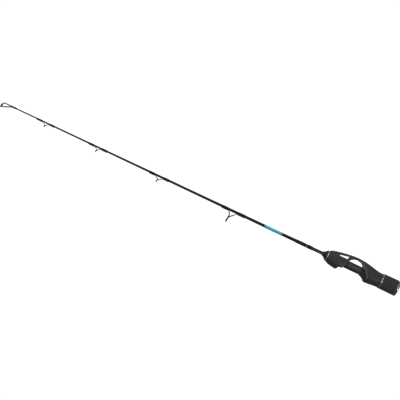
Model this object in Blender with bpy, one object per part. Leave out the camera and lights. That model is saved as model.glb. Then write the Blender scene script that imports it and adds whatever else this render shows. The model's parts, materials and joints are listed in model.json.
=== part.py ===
"""Short ice fishing rod with a skeleton reel seat and a screw-down rear grip.

Units are metres and +Z is up.  The rod lies along X, its tip towards -X and its butt towards +X, with
the open arch of the handle above and the line guides below.  The origin is the middle of the flat pad
that the reel's foot rests on.  Each piece hangs from an empty on the rod's own centre line, so a mesh
holds x along the rod, y across it and z as the height above that line.  A station is a distance
from the butt end, measured towards the tip.
"""

import math

import bmesh
import bpy
import numpy as np

MM = 0.001

# Overall lengths.
TOTAL_LENGTH = 760 * MM
KNOB_LENGTH = 34 * MM
HOUSING_LENGTH = 27.2 * MM
WINDOW_LENGTH = 52 * MM
NOSE_LENGTH = 21.4 * MM

# Clearances between pieces.
GLUE_GAP = 0.08 * MM
SLIDE_GAP = 0.15 * MM
RUN_GAP = 0.25 * MM
FACE_GAP = 0.3 * MM

# Reel seat barrel and its pad, which is a flat cut below the barrel.
BARREL_RADIUS = 7.3 * MM
BARREL_BORE_RADIUS = 4.6 * MM
PAD_CUT = 1 * MM
PAD_RELIEF = 0.2 * MM
PAD_MARGIN = 1.2 * MM
POCKET_HEIGHT = 4.35 * MM
POCKET_HALF_WIDTH = 6.9 * MM

# Screw thread between barrel and knob.
THREAD_LEAD = 2.5 * MM
THREAD_DEPTH = 0.9 * MM
THREAD_GAP = 0.35 * MM
THREAD_RUNOUT = 0.5 * MM
SPINDLE_STEP = 1 * MM
TRAVEL = 10 * MM
COLLAR_THICKNESS = 2.4 * MM
COLLAR_LIP = 1.1 * MM
COLLAR_EDGE = 0.4 * MM
COLLAR_PLUG_LENGTH = 1.7 * MM

# Sliding hood.
HOOD_WALL = 1.15 * MM
HOOD_CUP_WALL = 0.7 * MM
HOOD_NOSE = 9.6 * MM
HOOD_LIP = 0.8 * MM
HOOD_EDGE = 0.4 * MM
HOOD_RAMP_LENGTH = 3.6 * MM
HOOD_CHEEK_HALF_WIDTH = 8.4 * MM
HOOD_POCKET_DEPTH = 8 * MM
HOOD_CUP_BACK = 1.5 * MM
HOOD_RING_LENGTH = 11 * MM
HOOD_RING_WALL = 1.3 * MM
HOOD_RING_SETBACK = 1.2 * MM
HUB_NOSE_LENGTH = 4.8 * MM
HUB_NOSE_WALL = 1.6 * MM
WASHER_THICKNESS = 0.5 * MM
SNAP_RING_WIDTH = 0.8 * MM
SNAP_RING_BITE = 0.45 * MM
SNAP_RING_SETBACK = 1.3 * MM

# Seat shell: the one moulding that makes nose, arch and rear housing.
HOUSING_WALL = 1.05 * MM
HOUSING_LIP_WALL = 2.95 * MM
SPINE_THICKNESS = 3.1 * MM
ARCH_THICKNESS = 4.05 * MM
FINGER_HOLE_RISE = 7.55 * MM
NOSE_SIDE_WALL = 3.75 * MM
NOSE_ROOF_WALL = 1.55 * MM
NOSE_LIP_WALL = 3.9 * MM
NOSE_END_RADIUS = 9.7 * MM
NOSE_POCKET_DEPTH = 5 * MM
NOSE_POCKET_GAP = 0.3 * MM
NOSE_CHEEK_LENGTH = 9 * MM
NOSE_CHEEK_SKIRT = 1.3 * MM
NOSE_BOSS_WALL = 2.9 * MM
MOUTH_RAKE = 3 * MM
MOUTH_STEP = 0.6 * MM
ARCH_LEAN = 1 * MM
SHELL_FULLNESS = 0.92
SLOT_LENGTH = 16.5 * MM
SLOT_SETBACK = 3.8 * MM
SLOT_LEAN = 1.6 * MM
STRUT_LEAN = 6.4 * MM

# Rim of the rear housing, seen from the side, as (distance in front of the rear lip, height): the
# shoulder under the arch, the notch and the lip.
HOUSING_RIM = (
    (3.6 * MM, 4.4 * MM), (0.9 * MM, -0.5 * MM), (-1 * MM, -3.6 * MM), (-2.4 * MM, -5.2 * MM),
    (-2 * MM, -7.4 * MM), (0, -8.8 * MM),
)

# Knob that turns on the thread: hub, foam sleeve, rings and cap.
HUB_WALL = 1.5 * MM
GRIP_PROUD = 0.75 * MM
GRIP_FLARE = 0.25 * MM
GRIP_EDGE = 0.2 * MM
FRONT_RING_WIDTH = 3.7 * MM
REAR_RING_WIDTH = 3.6 * MM
RING_PROUD = 0.25 * MM
RING_CHAMFER = 0.5 * MM
CAP_OVERLAP = 0.8 * MM
CAP_EDGE = 0.7 * MM
CAP_PLUG_LENGTH = 4 * MM

# Nose trim and winding check.
TRIM_WIDTH = 3.2 * MM
TRIM_TAPER = 1.4 * MM
BOSS_SETBACK = 0.4 * MM
CHECK_LENGTH = 6.2 * MM
CHECK_FLANGE_RADIUS = 6.8 * MM
CHECK_FLANGE_WIDTH = 1.4 * MM
CHECK_NECK_WALL = 2.3 * MM
CHECK_END_WALL = 0.7 * MM
CHECK_STEP = 0.8 * MM

# Blank.
BLANK_BUTT_RADIUS = 2.6 * MM
BLANK_TIP_RADIUS = 0.75 * MM
BLANK_BORE_SHARE = 0.55
ARBOR_LENGTH = 20 * MM

# Bands on the blank: (distance from the winding check, length, thickness of the layer).
END_WRAP = (20 * MM, 9.3 * MM, 0.4 * MM)
END_TRIM = (29.7 * MM, 1.4 * MM, 0.3 * MM)
BUTT_WRAP = (31.5 * MM, 20 * MM, 0.2 * MM)
BAND_REAR_TRIM = (77.1 * MM, 1.7 * MM, 0.2 * MM)
BLUE_BAND = (79 * MM, 31 * MM, 0.15 * MM)
BAND_FRONT_TRIM = (110.2 * MM, 1.7 * MM, 0.2 * MM)

# Guides from the handle to the tip, in millimetres: ring radius, drop of the ring's top below the
# rod's centre line, reach of the legs in front and behind, length of the wraps in front and behind,
# wire size and foot width.
GUIDES = (
    dict(radius=6.4, drop=9.4, front=5, rear=12, wraps=(11.6, 14.5), wire=1.15, foot=1.5),
    dict(radius=3.1, drop=5.4, front=7, rear=8.5, wraps=(10.4, 10.4), wire=0.8, foot=1.2),
    dict(radius=2.4, drop=4.7, front=5.5, rear=7, wraps=(10.6, 10.6), wire=0.7, foot=1),
    dict(radius=2.05, drop=4.55, front=5.5, rear=6, wraps=(11, 10.5), wire=0.65, foot=0.9),
)

# The first guide's ring stands this far in front of the blue band's trim.  From there to the tip
# each gap between rings is this share of the gap behind it.
FIRST_GUIDE_AHEAD = 63.5 * MM
GUIDE_SPACING = 0.846
GUIDE_TILT = math.radians(-6)
GUIDE_RING_WALL = 0.7 * MM
INSERT_WALL = 0.75 * MM
INSERT_CROWN = 0.15 * MM
ROOM_MARGIN = 0.4 * MM
FOOT_THICKNESS = 0.45 * MM
FOOT_LENGTH_SHARE = 0.85
WRAP_WALL = 0.3 * MM
WRAP_SETBACK = 0.8 * MM
LEG_HEEL = 0.4 * MM
REAR_LEG_TURN = math.radians(28)

# Tip-top.
TIP_TUBE_LENGTH = 10.5 * MM
TIP_TUBE_WALL = 0.35 * MM
TIP_TUBE_FLOOR = 0.8 * MM
TIP_REACH = 16.5 * MM
TIP_RING_RADIUS = 3.9 * MM
TIP_RING_TILT = math.radians(-14)
TIP_RING_WIDTH = 1.3 * MM
TIP_RING_DROP = 5 * MM
TIP_STRUT_WIDTH = 1 * MM
TIP_STRUT_SHOULDER = 3 * MM
TIP_STRUT_TURN = math.radians(-62)
TIP_STRUT_BOW = 0.15 * MM

# Facets round the pieces, and the length of a cutter that runs out of its piece.
SIDES = 32
THREAD_SIDES = 20
SMALL_SIDES = 16
ROWS_PER_TURN = 5
SHELL_ROWS = 26
CUT_REACH = 40 * MM
ACROSS = np.array([0.0, 1.0, 0.0])

# Heights and radii of the handle, from the barrel outwards.
PAD_DROP = BARREL_RADIUS - PAD_CUT
BARREL_TOP = BARREL_RADIUS + SLIDE_GAP
SPINDLE_RADIUS = BARREL_RADIUS - SPINDLE_STEP
COLLAR_RADIUS = SPINDLE_RADIUS + COLLAR_LIP
HUB_CAVITY_RADIUS = COLLAR_RADIUS + 2 * RUN_GAP
HUB_RADIUS = HUB_CAVITY_RADIUS + HUB_WALL
HUB_NOSE_RADIUS = SPINDLE_RADIUS + THREAD_GAP + HUB_NOSE_WALL
HOOD_RING_RADIUS = HUB_NOSE_RADIUS + SLIDE_GAP + HOOD_RING_WALL
HOOD_SLEEVE_RADIUS = BARREL_TOP + HOOD_WALL
POCKET_RADIUS = PAD_DROP + POCKET_HEIGHT
CUP_WAY_RADIUS = POCKET_RADIUS + HOOD_CUP_WALL + 0.8 * RUN_GAP
HOUSING_RADIUS = CUP_WAY_RADIUS + HOUSING_WALL
HOUSING_LIP_DEPTH = CUP_WAY_RADIUS + HOUSING_LIP_WALL
NOSE_POCKET_RADIUS = POCKET_RADIUS + NOSE_POCKET_GAP
NOSE_LIP_DEPTH = NOSE_POCKET_RADIUS + NOSE_LIP_WALL
NOSE_HALF_WIDTH = BARREL_TOP + NOSE_SIDE_WALL
NOSE_CHEEK_DEPTH = BARREL_RADIUS + NOSE_CHEEK_SKIRT
NOSE_BOSS_RADIUS = BARREL_BORE_RADIUS + NOSE_BOSS_WALL
FINGER_HOLE_TOP = BARREL_TOP + FINGER_HOLE_RISE
ARCH_HEIGHT = FINGER_HOLE_TOP + ARCH_THICKNESS
SLOT_SILL = BARREL_TOP + NOSE_ROOF_WALL
GRIP_FRONT_RADIUS = HOUSING_RADIUS + GRIP_PROUD
GRIP_REAR_RADIUS = GRIP_FRONT_RADIUS + GRIP_FLARE
CAP_RADIUS = HUB_RADIUS + CAP_OVERLAP

# Stations along the handle, from the butt.
CAP_PLUG_END = CAP_EDGE + REAR_RING_WIDTH + CAP_PLUG_LENGTH
COLLAR_END = CAP_PLUG_END + FACE_GAP
SPINDLE_END = COLLAR_END + COLLAR_THICKNESS + GLUE_GAP
NUT_THREAD_START = SPINDLE_END + RUN_GAP + TRAVEL
NUT_THREAD_END = KNOB_LENGTH - THREAD_RUNOUT
BLANK_START = SPINDLE_END + COLLAR_PLUG_LENGTH + FACE_GAP
HOUSING_REAR = KNOB_LENGTH + FACE_GAP
REAR_LIP = HOUSING_REAR + HOUSING_LENGTH
FRONT_LIP = REAR_LIP + WINDOW_LENGTH
NOSE_END = FRONT_LIP + NOSE_LENGTH
SEAT_MIDDLE = (REAR_LIP + FRONT_LIP) / 2
ARCH_PEAK = SEAT_MIDDLE - 0.05 * WINDOW_LENGTH
HOOD_FRONT = REAR_LIP + HOOD_NOSE
HOOD_REAR = HOUSING_REAR + HOOD_RING_SETBACK
HOOD_STEP = HOOD_REAR + HOOD_RING_LENGTH
HOOD_POCKET_MOUTH = REAR_LIP + HOOD_LIP
HOOD_POCKET_BACK = HOOD_POCKET_MOUTH - HOOD_POCKET_DEPTH
HOOD_CUP_REAR = HOOD_POCKET_BACK - HOOD_CUP_BACK
SNAP_GROOVE_START = HOOD_REAR + SNAP_RING_SETBACK
SNAP_GROOVE_END = SNAP_GROOVE_START + SNAP_RING_WIDTH + 2 * SLIDE_GAP
HUB_NOSE_END = KNOB_LENGTH + HUB_NOSE_LENGTH
BARREL_STEP = HUB_NOSE_END + WASHER_THICKNESS + 4 * SLIDE_GAP
TRIM_END = NOSE_END + TRIM_WIDTH
BOSS_END = TRIM_END - BOSS_SETBACK
BARREL_FRONT = NOSE_END - 0.4 * NOSE_LENGTH
CHECK_START = TRIM_END + FACE_GAP
CHECK_END = CHECK_START + CHECK_LENGTH
TAPER_START = CHECK_END + END_WRAP[0]
TIP_RING_STATION = (
    TOTAL_LENGTH - TIP_RING_RADIUS * abs(math.sin(TIP_RING_TILT)) - 0.5 * TIP_RING_WIDTH * math.cos(TIP_RING_TILT)
)
TIP_TUBE_END = TIP_RING_STATION - TIP_REACH
TIP_TUBE_START = TIP_TUBE_END - TIP_TUBE_LENGTH


def material(name, colour, roughness, metallic=0.0):
    """One Principled BSDF material."""
    made = bpy.data.materials.new(name)
    made.use_nodes = True
    shader = made.node_tree.nodes["Principled BSDF"]
    shader.inputs["Base Color"].default_value = (*colour, 1.0)
    shader.inputs["Roughness"].default_value = roughness
    shader.inputs["Metallic"].default_value = metallic
    return made


def x_of(station):
    """World x of a station."""
    return SEAT_MIDDLE - station


def blank_radius(station):
    """Outer radius of the blank: parallel in the handle, then an even taper to the tip."""
    share = (station - TAPER_START) / (TIP_TUBE_END - TAPER_START)
    return BLANK_BUTT_RADIUS + (BLANK_TIP_RADIUS - BLANK_BUTT_RADIUS) * min(max(share, 0.0), 1.0)


def carrier(name, parent=None):
    """An empty on the rod's centre line that one moving body hangs from."""
    empty = bpy.data.objects.new(name, None)
    empty.empty_display_size = 10 * MM
    bpy.context.scene.collection.objects.link(empty)
    if parent is None:
        empty.location = (0, 0, PAD_DROP)
    else:
        empty.parent = parent
    return empty


def place(name, points, faces, body, finish=None):
    """A mesh object on its body, with faces turned outwards and round faces shaded smooth."""
    mesh = bpy.data.meshes.new(name)
    mesh.from_pydata([tuple(point) for point in points], [], faces)
    shape = bmesh.new()
    shape.from_mesh(mesh)
    bmesh.ops.remove_doubles(shape, verts=shape.verts, dist=1e-7)
    bmesh.ops.recalc_face_normals(shape, faces=shape.faces)
    shape.to_mesh(mesh)
    shape.free()
    mesh.shade_smooth()
    mesh.set_sharp_from_angle(angle=math.radians(35))
    made = bpy.data.objects.new(name, mesh)
    bpy.context.scene.collection.objects.link(made)
    made.parent = body
    if finish:
        mesh.materials.append(finish)
    else:
        made.hide_render = True
        made.display_type = "WIRE"
    return made


def skin(grid, closed):
    """Points and faces of a grid of rows: each row is a closed loop of points.  The rows join up
    end to end when closed is true, and otherwise the first and last rows are capped."""
    rows, columns, _ = grid.shape
    index = np.arange(rows * columns).reshape(rows, columns)
    lower = index if closed else index[:-1]
    upper = np.roll(index, -1, axis=0) if closed else index[1:]
    quads = np.stack([lower, np.roll(lower, -1, 1), np.roll(upper, -1, 1), upper], axis=-1)
    faces = [tuple(face) for face in quads.reshape(-1, 4).tolist()]
    if not closed:
        faces += [tuple(index[0].tolist()), tuple(index[-1].tolist())]
    return grid.reshape(-1, 3), faces


def turned(name, outline, body, finish=None, sides=SIDES):
    """Turns an outline of (station, radius) points, closed or from axis to axis, about the rod."""
    closed = min(radius for _, radius in outline) > 0
    angle = np.linspace(0, 2 * math.pi, sides, endpoint=False)
    rows = []
    for station, radius in outline:
        x = np.full(sides, x_of(station))
        rows.append(np.stack([x, radius * np.cos(angle), radius * np.sin(angle)], axis=-1))
    points, faces = skin(np.array(rows), closed)
    if not closed:
        faces = faces[:-2]
    return place(name, points, faces, body, finish)


def tube(name, start, end, inner, outer, body, finish=None, chamfer=0.0, sides=SIDES):
    """A plain ring between two stations with a chamfer on its outer edges."""
    outline = [(start, inner), (start, outer - chamfer), (start + chamfer, outer)]
    outline += [(end - chamfer, outer), (end, outer - chamfer), (end, inner)]
    if not chamfer:
        outline = [(start, inner), (start, outer), (end, outer), (end, inner)]
    return turned(name, outline, body, finish, sides)


def rounded(corners, radius, steps=4):
    """Rounds each corner of a closed outline with an arc-like curve of the given radius.  A corner
    may carry its own radius as a third value."""
    points = [np.array(corner[:2], float) for corner in corners]
    radii = [corner[2] if len(corner) > 2 else radius for corner in corners]
    result = []
    for before, here, after, bend in zip(points[-1:] + points[:-1], points, points[1:] + points[:1], radii):
        if bend == 0:
            result.append(here)
            continue
        back, ahead = before - here, after - here
        reach = min(bend, 0.45 * np.linalg.norm(back), 0.45 * np.linalg.norm(ahead))
        start = here + back / np.linalg.norm(back) * reach
        stop = here + ahead / np.linalg.norm(ahead) * reach
        for step in np.linspace(0, 1, steps + 1):
            result.append((1 - step) ** 2 * start + 2 * step * (1 - step) * here + step**2 * stop)
    return result


def side_cutter(name, outline, body, half_width=CUT_REACH):
    """A prism that runs across the rod, from an outline of (station, height) points."""
    count = len(outline)
    points = [(x_of(s), side, z) for side in (-half_width, half_width) for s, z in outline]
    faces = [tuple(range(count)), tuple(range(2 * count - 1, count - 1, -1))]
    faces += [(i, (i + 1) % count, (i + 1) % count + count, i + count) for i in range(count)]
    return place(name, points, faces, body)


def end_cutter(name, outline, start, end, body):
    """A prism along the rod, from an outline of (across, height) points."""
    count = len(outline)
    points = [(x_of(station), y, z) for station in (start, end) for y, z in outline]
    faces = [tuple(range(count)), tuple(range(2 * count - 1, count - 1, -1))]
    faces += [(i, (i + 1) % count, (i + 1) % count + count, i + count) for i in range(count)]
    return place(name, points, faces, body)


def round_cutter(name, start, end, radius, body, sides=SIDES):
    """A cylinder on the rod's centre line."""
    angle = np.linspace(0, 2 * math.pi, sides, endpoint=False)
    outline = np.stack([radius * np.cos(angle), radius * np.sin(angle)], axis=-1)
    return end_cutter(name, outline, start, end, body)


def combine(target, other, operation):
    """Adds a live Boolean to target."""
    modifier = target.modifiers.new(other.name, "BOOLEAN")
    modifier.operation = operation
    modifier.object = other
    modifier.solver = "EXACT"


def cut(target, *cutters):
    for cutter in cutters:
        combine(target, cutter, "DIFFERENCE")


def join(target, *others):
    for other in others:
        combine(target, other, "UNION")


def through(points, count):
    """A smooth curve of count points through a few (station, value) points (Catmull-Rom)."""
    points = np.array(points, float)
    slopes = np.gradient(points[:, 1], points[:, 0])
    stations = np.linspace(points[0, 0], points[-1, 0], count)
    return stations, hermite(points, slopes, stations)


def hermite(points, slopes, stations):
    """Cubic through the points with the given slopes, read at the stations."""
    place_in = np.clip(np.searchsorted(points[:, 0], stations, side="right") - 1, 0, len(points) - 2)
    span = points[place_in + 1, 0] - points[place_in, 0]
    t = np.clip((stations - points[place_in, 0]) / span, 0, 1)
    start, end = points[place_in, 1], points[place_in + 1, 1]
    rise_start, rise_end = slopes[place_in] * span, slopes[place_in + 1] * span
    value = (2 * t**3 - 3 * t**2 + 1) * start + (t**3 - 2 * t**2 + t) * rise_start
    return value + (3 * t**2 - 2 * t**3) * end + (t**3 - t**2) * rise_end


CROWN = (
    (HOUSING_REAR, HOUSING_RADIUS - 0.5 * MM),
    (HOUSING_REAR + 0.3 * HOUSING_LENGTH, HOUSING_RADIUS),
    (HOUSING_REAR + 0.55 * HOUSING_LENGTH, 0.73 * ARCH_HEIGHT),
    (REAR_LIP, 0.874 * ARCH_HEIGHT),
    (ARCH_PEAK, ARCH_HEIGHT),
    (FRONT_LIP - 0.2 * WINDOW_LENGTH, 0.911 * ARCH_HEIGHT),
    (FRONT_LIP + 0.3 * NOSE_LENGTH, 0.756 * ARCH_HEIGHT),
    (FRONT_LIP + 0.8 * NOSE_LENGTH, 0.617 * ARCH_HEIGHT),
    (NOSE_END, NOSE_END_RADIUS),
)
KEEL = (
    (HOUSING_REAR, -HOUSING_RADIUS),
    (HOUSING_REAR + 0.3 * HOUSING_LENGTH, -0.907 * HOUSING_LIP_DEPTH),
    (HOUSING_REAR + 0.8 * HOUSING_LENGTH, -HOUSING_LIP_DEPTH),
    (REAR_LIP, -HOUSING_LIP_DEPTH),
    (FRONT_LIP, -NOSE_LIP_DEPTH),
    (FRONT_LIP + 0.5 * NOSE_LENGTH, -0.904 * NOSE_LIP_DEPTH),
    (FRONT_LIP + 0.8 * NOSE_LENGTH, -0.795 * NOSE_LIP_DEPTH),
    (NOSE_END, -NOSE_END_RADIUS),
)
FLANK = (
    (HOUSING_REAR, HOUSING_RADIUS),
    (HOUSING_REAR + 0.55 * HOUSING_LENGTH, HOUSING_RADIUS + 0.4 * MM),
    (REAR_LIP, HOUSING_RADIUS),
    (SEAT_MIDDLE, 0.95 * NOSE_HALF_WIDTH),
    (FRONT_LIP, NOSE_HALF_WIDTH),
    (FRONT_LIP + 0.5 * NOSE_LENGTH, 0.97 * NOSE_HALF_WIDTH),
    (NOSE_END, NOSE_END_RADIUS),
)


def shell_blank(name, body, finish):
    """Outer form of the seat shell: egg-shaped sections whose top, bottom and half width follow
    three smooth curves along the handle."""
    stations, top = through(CROWN, SHELL_ROWS)
    bottom = through(KEEL, SHELL_ROWS)[1]
    half_width = through(FLANK, SHELL_ROWS)[1]
    angle = np.linspace(0, 2 * math.pi, SIDES, endpoint=False)
    cosine, sine = np.cos(angle), np.sin(angle)
    rows = []
    for station, crown, keel, flank in zip(stations, top, bottom, half_width):
        y = flank * np.sign(cosine) * np.abs(cosine) ** SHELL_FULLNESS
        z = np.where(sine > 0, crown, -keel) * np.sign(sine) * np.abs(sine) ** SHELL_FULLNESS
        rows.append(np.stack([np.full_like(y, x_of(station)), y, z], axis=-1))
    points, faces = skin(np.array(rows), False)
    return place(name, points, faces, body, finish)


def arch_window():
    """Side outline of the reel window: the finger hole under the arch, the housing's slanting rim
    with its notch and lip, and the nose's slanting mouth."""
    hole_front = FRONT_LIP - NOSE_CHEEK_LENGTH - STRUT_LEAN
    hole_rear = HOOD_FRONT + FACE_GAP
    peak = ARCH_PEAK - ARCH_LEAN
    arch = []
    for turn in np.linspace(0, math.pi, 17):
        reach = (hole_front - peak) if turn < math.pi / 2 else (peak - hole_rear)
        along = math.copysign(abs(math.cos(turn)) ** 1.15, math.cos(turn)) * reach
        arch.append((peak + along, BARREL_TOP + FINGER_HOLE_RISE * math.sin(turn) ** 1.1))
    rim = [(REAR_LIP + ahead, height) for ahead, height in HOUSING_RIM] + [(REAR_LIP, -CUT_REACH)]
    cheek_rear = FRONT_LIP - NOSE_CHEEK_LENGTH
    mouth = [
        (FRONT_LIP, -CUT_REACH),
        (FRONT_LIP, -NOSE_LIP_DEPTH + MOUTH_STEP),
        (FRONT_LIP - MOUTH_RAKE, -NOSE_CHEEK_DEPTH),
        (cheek_rear, -NOSE_CHEEK_DEPTH),
        (cheek_rear + MOUTH_STEP, -PAD_DROP),
    ]
    return arch + rim + mouth


def front_slot():
    """Side outline of the narrow slot in the nose, which runs parallel to the crown above it."""
    front = FRONT_LIP + SLOT_SETBACK
    rear = front - SLOT_LENGTH
    crown = np.array(CROWN)
    slopes = np.gradient(crown[:, 1], crown[:, 0])
    top = np.linspace(front - 0.5 * MM, rear - SLOT_LEAN, 6)
    ceiling = hermite(crown, slopes, top) - SPINE_THICKNESS
    corners = [(rear, SLOT_SILL, 1.2 * MM), (front, SLOT_SILL, 0.9 * MM)]
    corners += [(s, z, 0.9 * MM if i in (0, 5) else 0) for i, (s, z) in enumerate(zip(top, ceiling))]
    return rounded(corners, 1 * MM, 3)


def crescent(radius, half_width, top, steps=9):
    """Section of a pocket under the barrel: straight sides and a floor that is an arc about the
    rod's centre line."""
    limit = math.asin(min(half_width / radius, 1.0))
    turns = np.linspace(-limit, limit, steps)
    floor = [(radius * math.sin(turn), -radius * math.cos(turn)) for turn in turns]
    return floor + [(half_width, top), (-half_width, top)]


def make_seat_shell(body, finish):
    shell = shell_blank("seat_shell", body, finish)
    boss = tube("shell_boss", NOSE_END - 2 * MM, BOSS_END, BARREL_BORE_RADIUS, NOSE_BOSS_RADIUS, body)
    bore = round_cutter("shell_barrel_bore", REAR_LIP - 4 * MM, BARREL_FRONT + FACE_GAP, BARREL_TOP, body)
    front_bore = round_cutter("shell_front_bore", BARREL_FRONT - 1 * MM, TRIM_END + 1 * MM,
                              BARREL_BORE_RADIUS, body)
    window = side_cutter("shell_window", arch_window(), body)
    slot = side_cutter("shell_slot", front_slot(), body)
    nose_pocket = end_cutter(
        "shell_nose_pocket", crescent(NOSE_POCKET_RADIUS, POCKET_HALF_WIDTH, 0),
        SEAT_MIDDLE, FRONT_LIP + NOSE_POCKET_DEPTH, body)
    rear_bore = round_cutter("shell_rear_bore", HOUSING_REAR - 1 * MM, HOOD_STEP + RUN_GAP,
                             HOOD_RING_RADIUS + RUN_GAP, body)
    sleeve_bore = round_cutter("shell_sleeve_bore", HOOD_STEP - 1 * MM, SEAT_MIDDLE,
                               HOOD_SLEEVE_RADIUS + RUN_GAP, body)
    cup_way = end_cutter(
        "shell_cup_way", crescent(CUP_WAY_RADIUS, HOOD_CHEEK_HALF_WIDTH + RUN_GAP, 0),
        HOOD_CUP_REAR - TRAVEL - RUN_GAP, SEAT_MIDDLE, body)
    join(shell, boss)
    cut(shell, window, slot, bore, front_bore, nose_pocket, rear_bore, sleeve_bore, cup_way)
    return shell


def thread_grid(stations, mean_radius, fade_ends, sides=THREAD_SIDES):
    """Rows of a round screw thread: the radius swings with the angle minus the travel along x."""
    angle = np.linspace(0, 2 * math.pi, sides, endpoint=False)
    rows = []
    for station in stations:
        x = x_of(station)
        swing = np.cos(angle - 2 * math.pi * x / THREAD_LEAD)
        fade = 1.0
        if fade_ends:
            nearest = min(station - stations[0], stations[-1] - station)
            fade = min(nearest / (0.5 * THREAD_LEAD), 1.0)
        radius = mean_radius + 0.5 * THREAD_DEPTH * (swing * fade - (1 - fade))
        rows.append(np.stack([np.full(sides, x), radius * np.cos(angle), radius * np.sin(angle)], axis=-1))
    return rows


def loops(outline, sides=THREAD_SIDES):
    """Round rows for a list of (station, radius)."""
    angle = np.linspace(0, 2 * math.pi, sides, endpoint=False)
    return [
        np.stack([np.full(sides, x_of(station)), radius * np.cos(angle), radius * np.sin(angle)], axis=-1)
        for station, radius in outline
    ]


def make_barrel(body, finish):
    """Reel seat barrel: a tube with a flat pad below and a screw spindle at its rear."""
    thread_start = SPINDLE_END + 0.4 * MM
    thread_end = KNOB_LENGTH + 0.5 * THREAD_LEAD
    thread_rows = round((thread_end - thread_start) / THREAD_LEAD * ROWS_PER_TURN)
    stations = np.linspace(thread_start, thread_end, thread_rows)
    mean = SPINDLE_RADIUS - THREAD_DEPTH / 2
    root = mean - THREAD_DEPTH / 2
    rows = loops([(SPINDLE_END, BARREL_BORE_RADIUS), (SPINDLE_END, root)])
    rows += thread_grid(stations, mean, True)
    rows += loops([(BARREL_STEP, root), (BARREL_STEP, BARREL_RADIUS), (BARREL_FRONT, BARREL_RADIUS),
                   (BARREL_FRONT, BARREL_BORE_RADIUS)])
    points, faces = skin(np.array(rows), True)
    barrel = place("seat_barrel", points, faces, body, finish)
    pad_rear = HOOD_FRONT + PAD_MARGIN
    pad_front = FRONT_LIP - NOSE_CHEEK_LENGTH - PAD_MARGIN
    floor = -PAD_DROP
    relief = floor + PAD_RELIEF
    outline = [
        (HOOD_POCKET_BACK - 1 * MM, -CUT_REACH), (HOOD_POCKET_BACK - 1 * MM, relief), (pad_rear, relief),
        (pad_rear, floor), (pad_front, floor), (pad_front, relief),
        (FRONT_LIP + NOSE_POCKET_DEPTH, relief), (FRONT_LIP + NOSE_POCKET_DEPTH, -CUT_REACH),
    ]
    cut(barrel, side_cutter("barrel_flats", outline, body))
    return barrel


def make_hood(body, finish):
    """Sliding hood: a sleeve on the barrel with a cup below that holds the rear of the reel's foot,
    and a ring behind that the knob's nose turns in."""
    nose_bore = HUB_NOSE_RADIUS + SLIDE_GAP
    groove_radius = nose_bore + SNAP_RING_BITE + SLIDE_GAP
    edge = HOOD_RING_RADIUS - HOOD_EDGE
    hood = turned("sliding_hood", [
        (HOOD_REAR, nose_bore), (HOOD_REAR, edge), (HOOD_REAR + HOOD_EDGE, HOOD_RING_RADIUS),
        (HOOD_STEP, HOOD_RING_RADIUS), (HOOD_STEP, HOOD_SLEEVE_RADIUS), (HOOD_FRONT, HOOD_SLEEVE_RADIUS),
        (HOOD_FRONT, BARREL_TOP), (BARREL_STEP, BARREL_TOP), (BARREL_STEP, nose_bore),
        (SNAP_GROOVE_END, nose_bore), (SNAP_GROOVE_END, groove_radius), (SNAP_GROOVE_START, groove_radius),
        (SNAP_GROOVE_START, nose_bore),
    ], body, finish)
    cup = end_cutter("hood_cup", crescent(POCKET_RADIUS + HOOD_CUP_WALL, HOOD_CHEEK_HALF_WIDTH, -1 * MM),
                     HOOD_CUP_REAR, HOOD_FRONT - HOOD_EDGE, body)
    bore = round_cutter("hood_bore", HOOD_CUP_REAR - 1 * MM, HOOD_FRONT + 1 * MM, BARREL_TOP, body)
    pocket = end_cutter("hood_pocket", crescent(POCKET_RADIUS, POCKET_HALF_WIDTH, -3 * MM),
                        HOOD_POCKET_BACK, HOOD_FRONT + 1 * MM, body)
    ramp = side_cutter("hood_ramp", [
        (HOOD_FRONT + 2 * MM, -BARREL_RADIUS), (HOOD_FRONT - HOOD_EDGE, -BARREL_RADIUS),
        (HOOD_FRONT - HOOD_RAMP_LENGTH, -BARREL_RADIUS - 0.2 * POCKET_HEIGHT),
        (HOOD_POCKET_MOUTH + 2 * MM, -BARREL_RADIUS - 0.55 * POCKET_HEIGHT),
        (HOOD_POCKET_MOUTH, -CUT_REACH), (HOOD_FRONT + 2 * MM, -CUT_REACH),
    ], body)
    join(hood, cup)
    cut(hood, bore, pocket, ramp)
    return hood


def make_hub(body, finish):
    """Threaded hub in the knob, with a nose that reaches into the hood's ring."""
    nose_bore = SPINDLE_RADIUS + THREAD_GAP
    groove_radius = HUB_NOSE_RADIUS - SNAP_RING_BITE - SLIDE_GAP
    hub_rear = CAP_EDGE + REAR_RING_WIDTH + FACE_GAP
    count = round((NUT_THREAD_END - NUT_THREAD_START) / THREAD_LEAD * ROWS_PER_TURN)
    stations = np.linspace(NUT_THREAD_START, NUT_THREAD_END, count)
    mean = SPINDLE_RADIUS - THREAD_DEPTH / 2 + THREAD_GAP
    rows = loops([
        (hub_rear, HUB_CAVITY_RADIUS), (hub_rear, HUB_RADIUS), (KNOB_LENGTH, HUB_RADIUS),
        (KNOB_LENGTH, HUB_NOSE_RADIUS), (SNAP_GROOVE_START, HUB_NOSE_RADIUS),
        (SNAP_GROOVE_START, groove_radius), (SNAP_GROOVE_END, groove_radius),
        (SNAP_GROOVE_END, HUB_NOSE_RADIUS), (HUB_NOSE_END, HUB_NOSE_RADIUS), (HUB_NOSE_END, nose_bore),
        (NUT_THREAD_END + 0.05 * MM, nose_bore),
    ])
    rows += thread_grid(stations, mean, False)[::-1]
    rows += loops([(NUT_THREAD_START - 0.05 * MM, HUB_CAVITY_RADIUS)])
    points, faces = skin(np.array(rows), True)
    return place("knob_hub", points, faces, body, finish)


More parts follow.
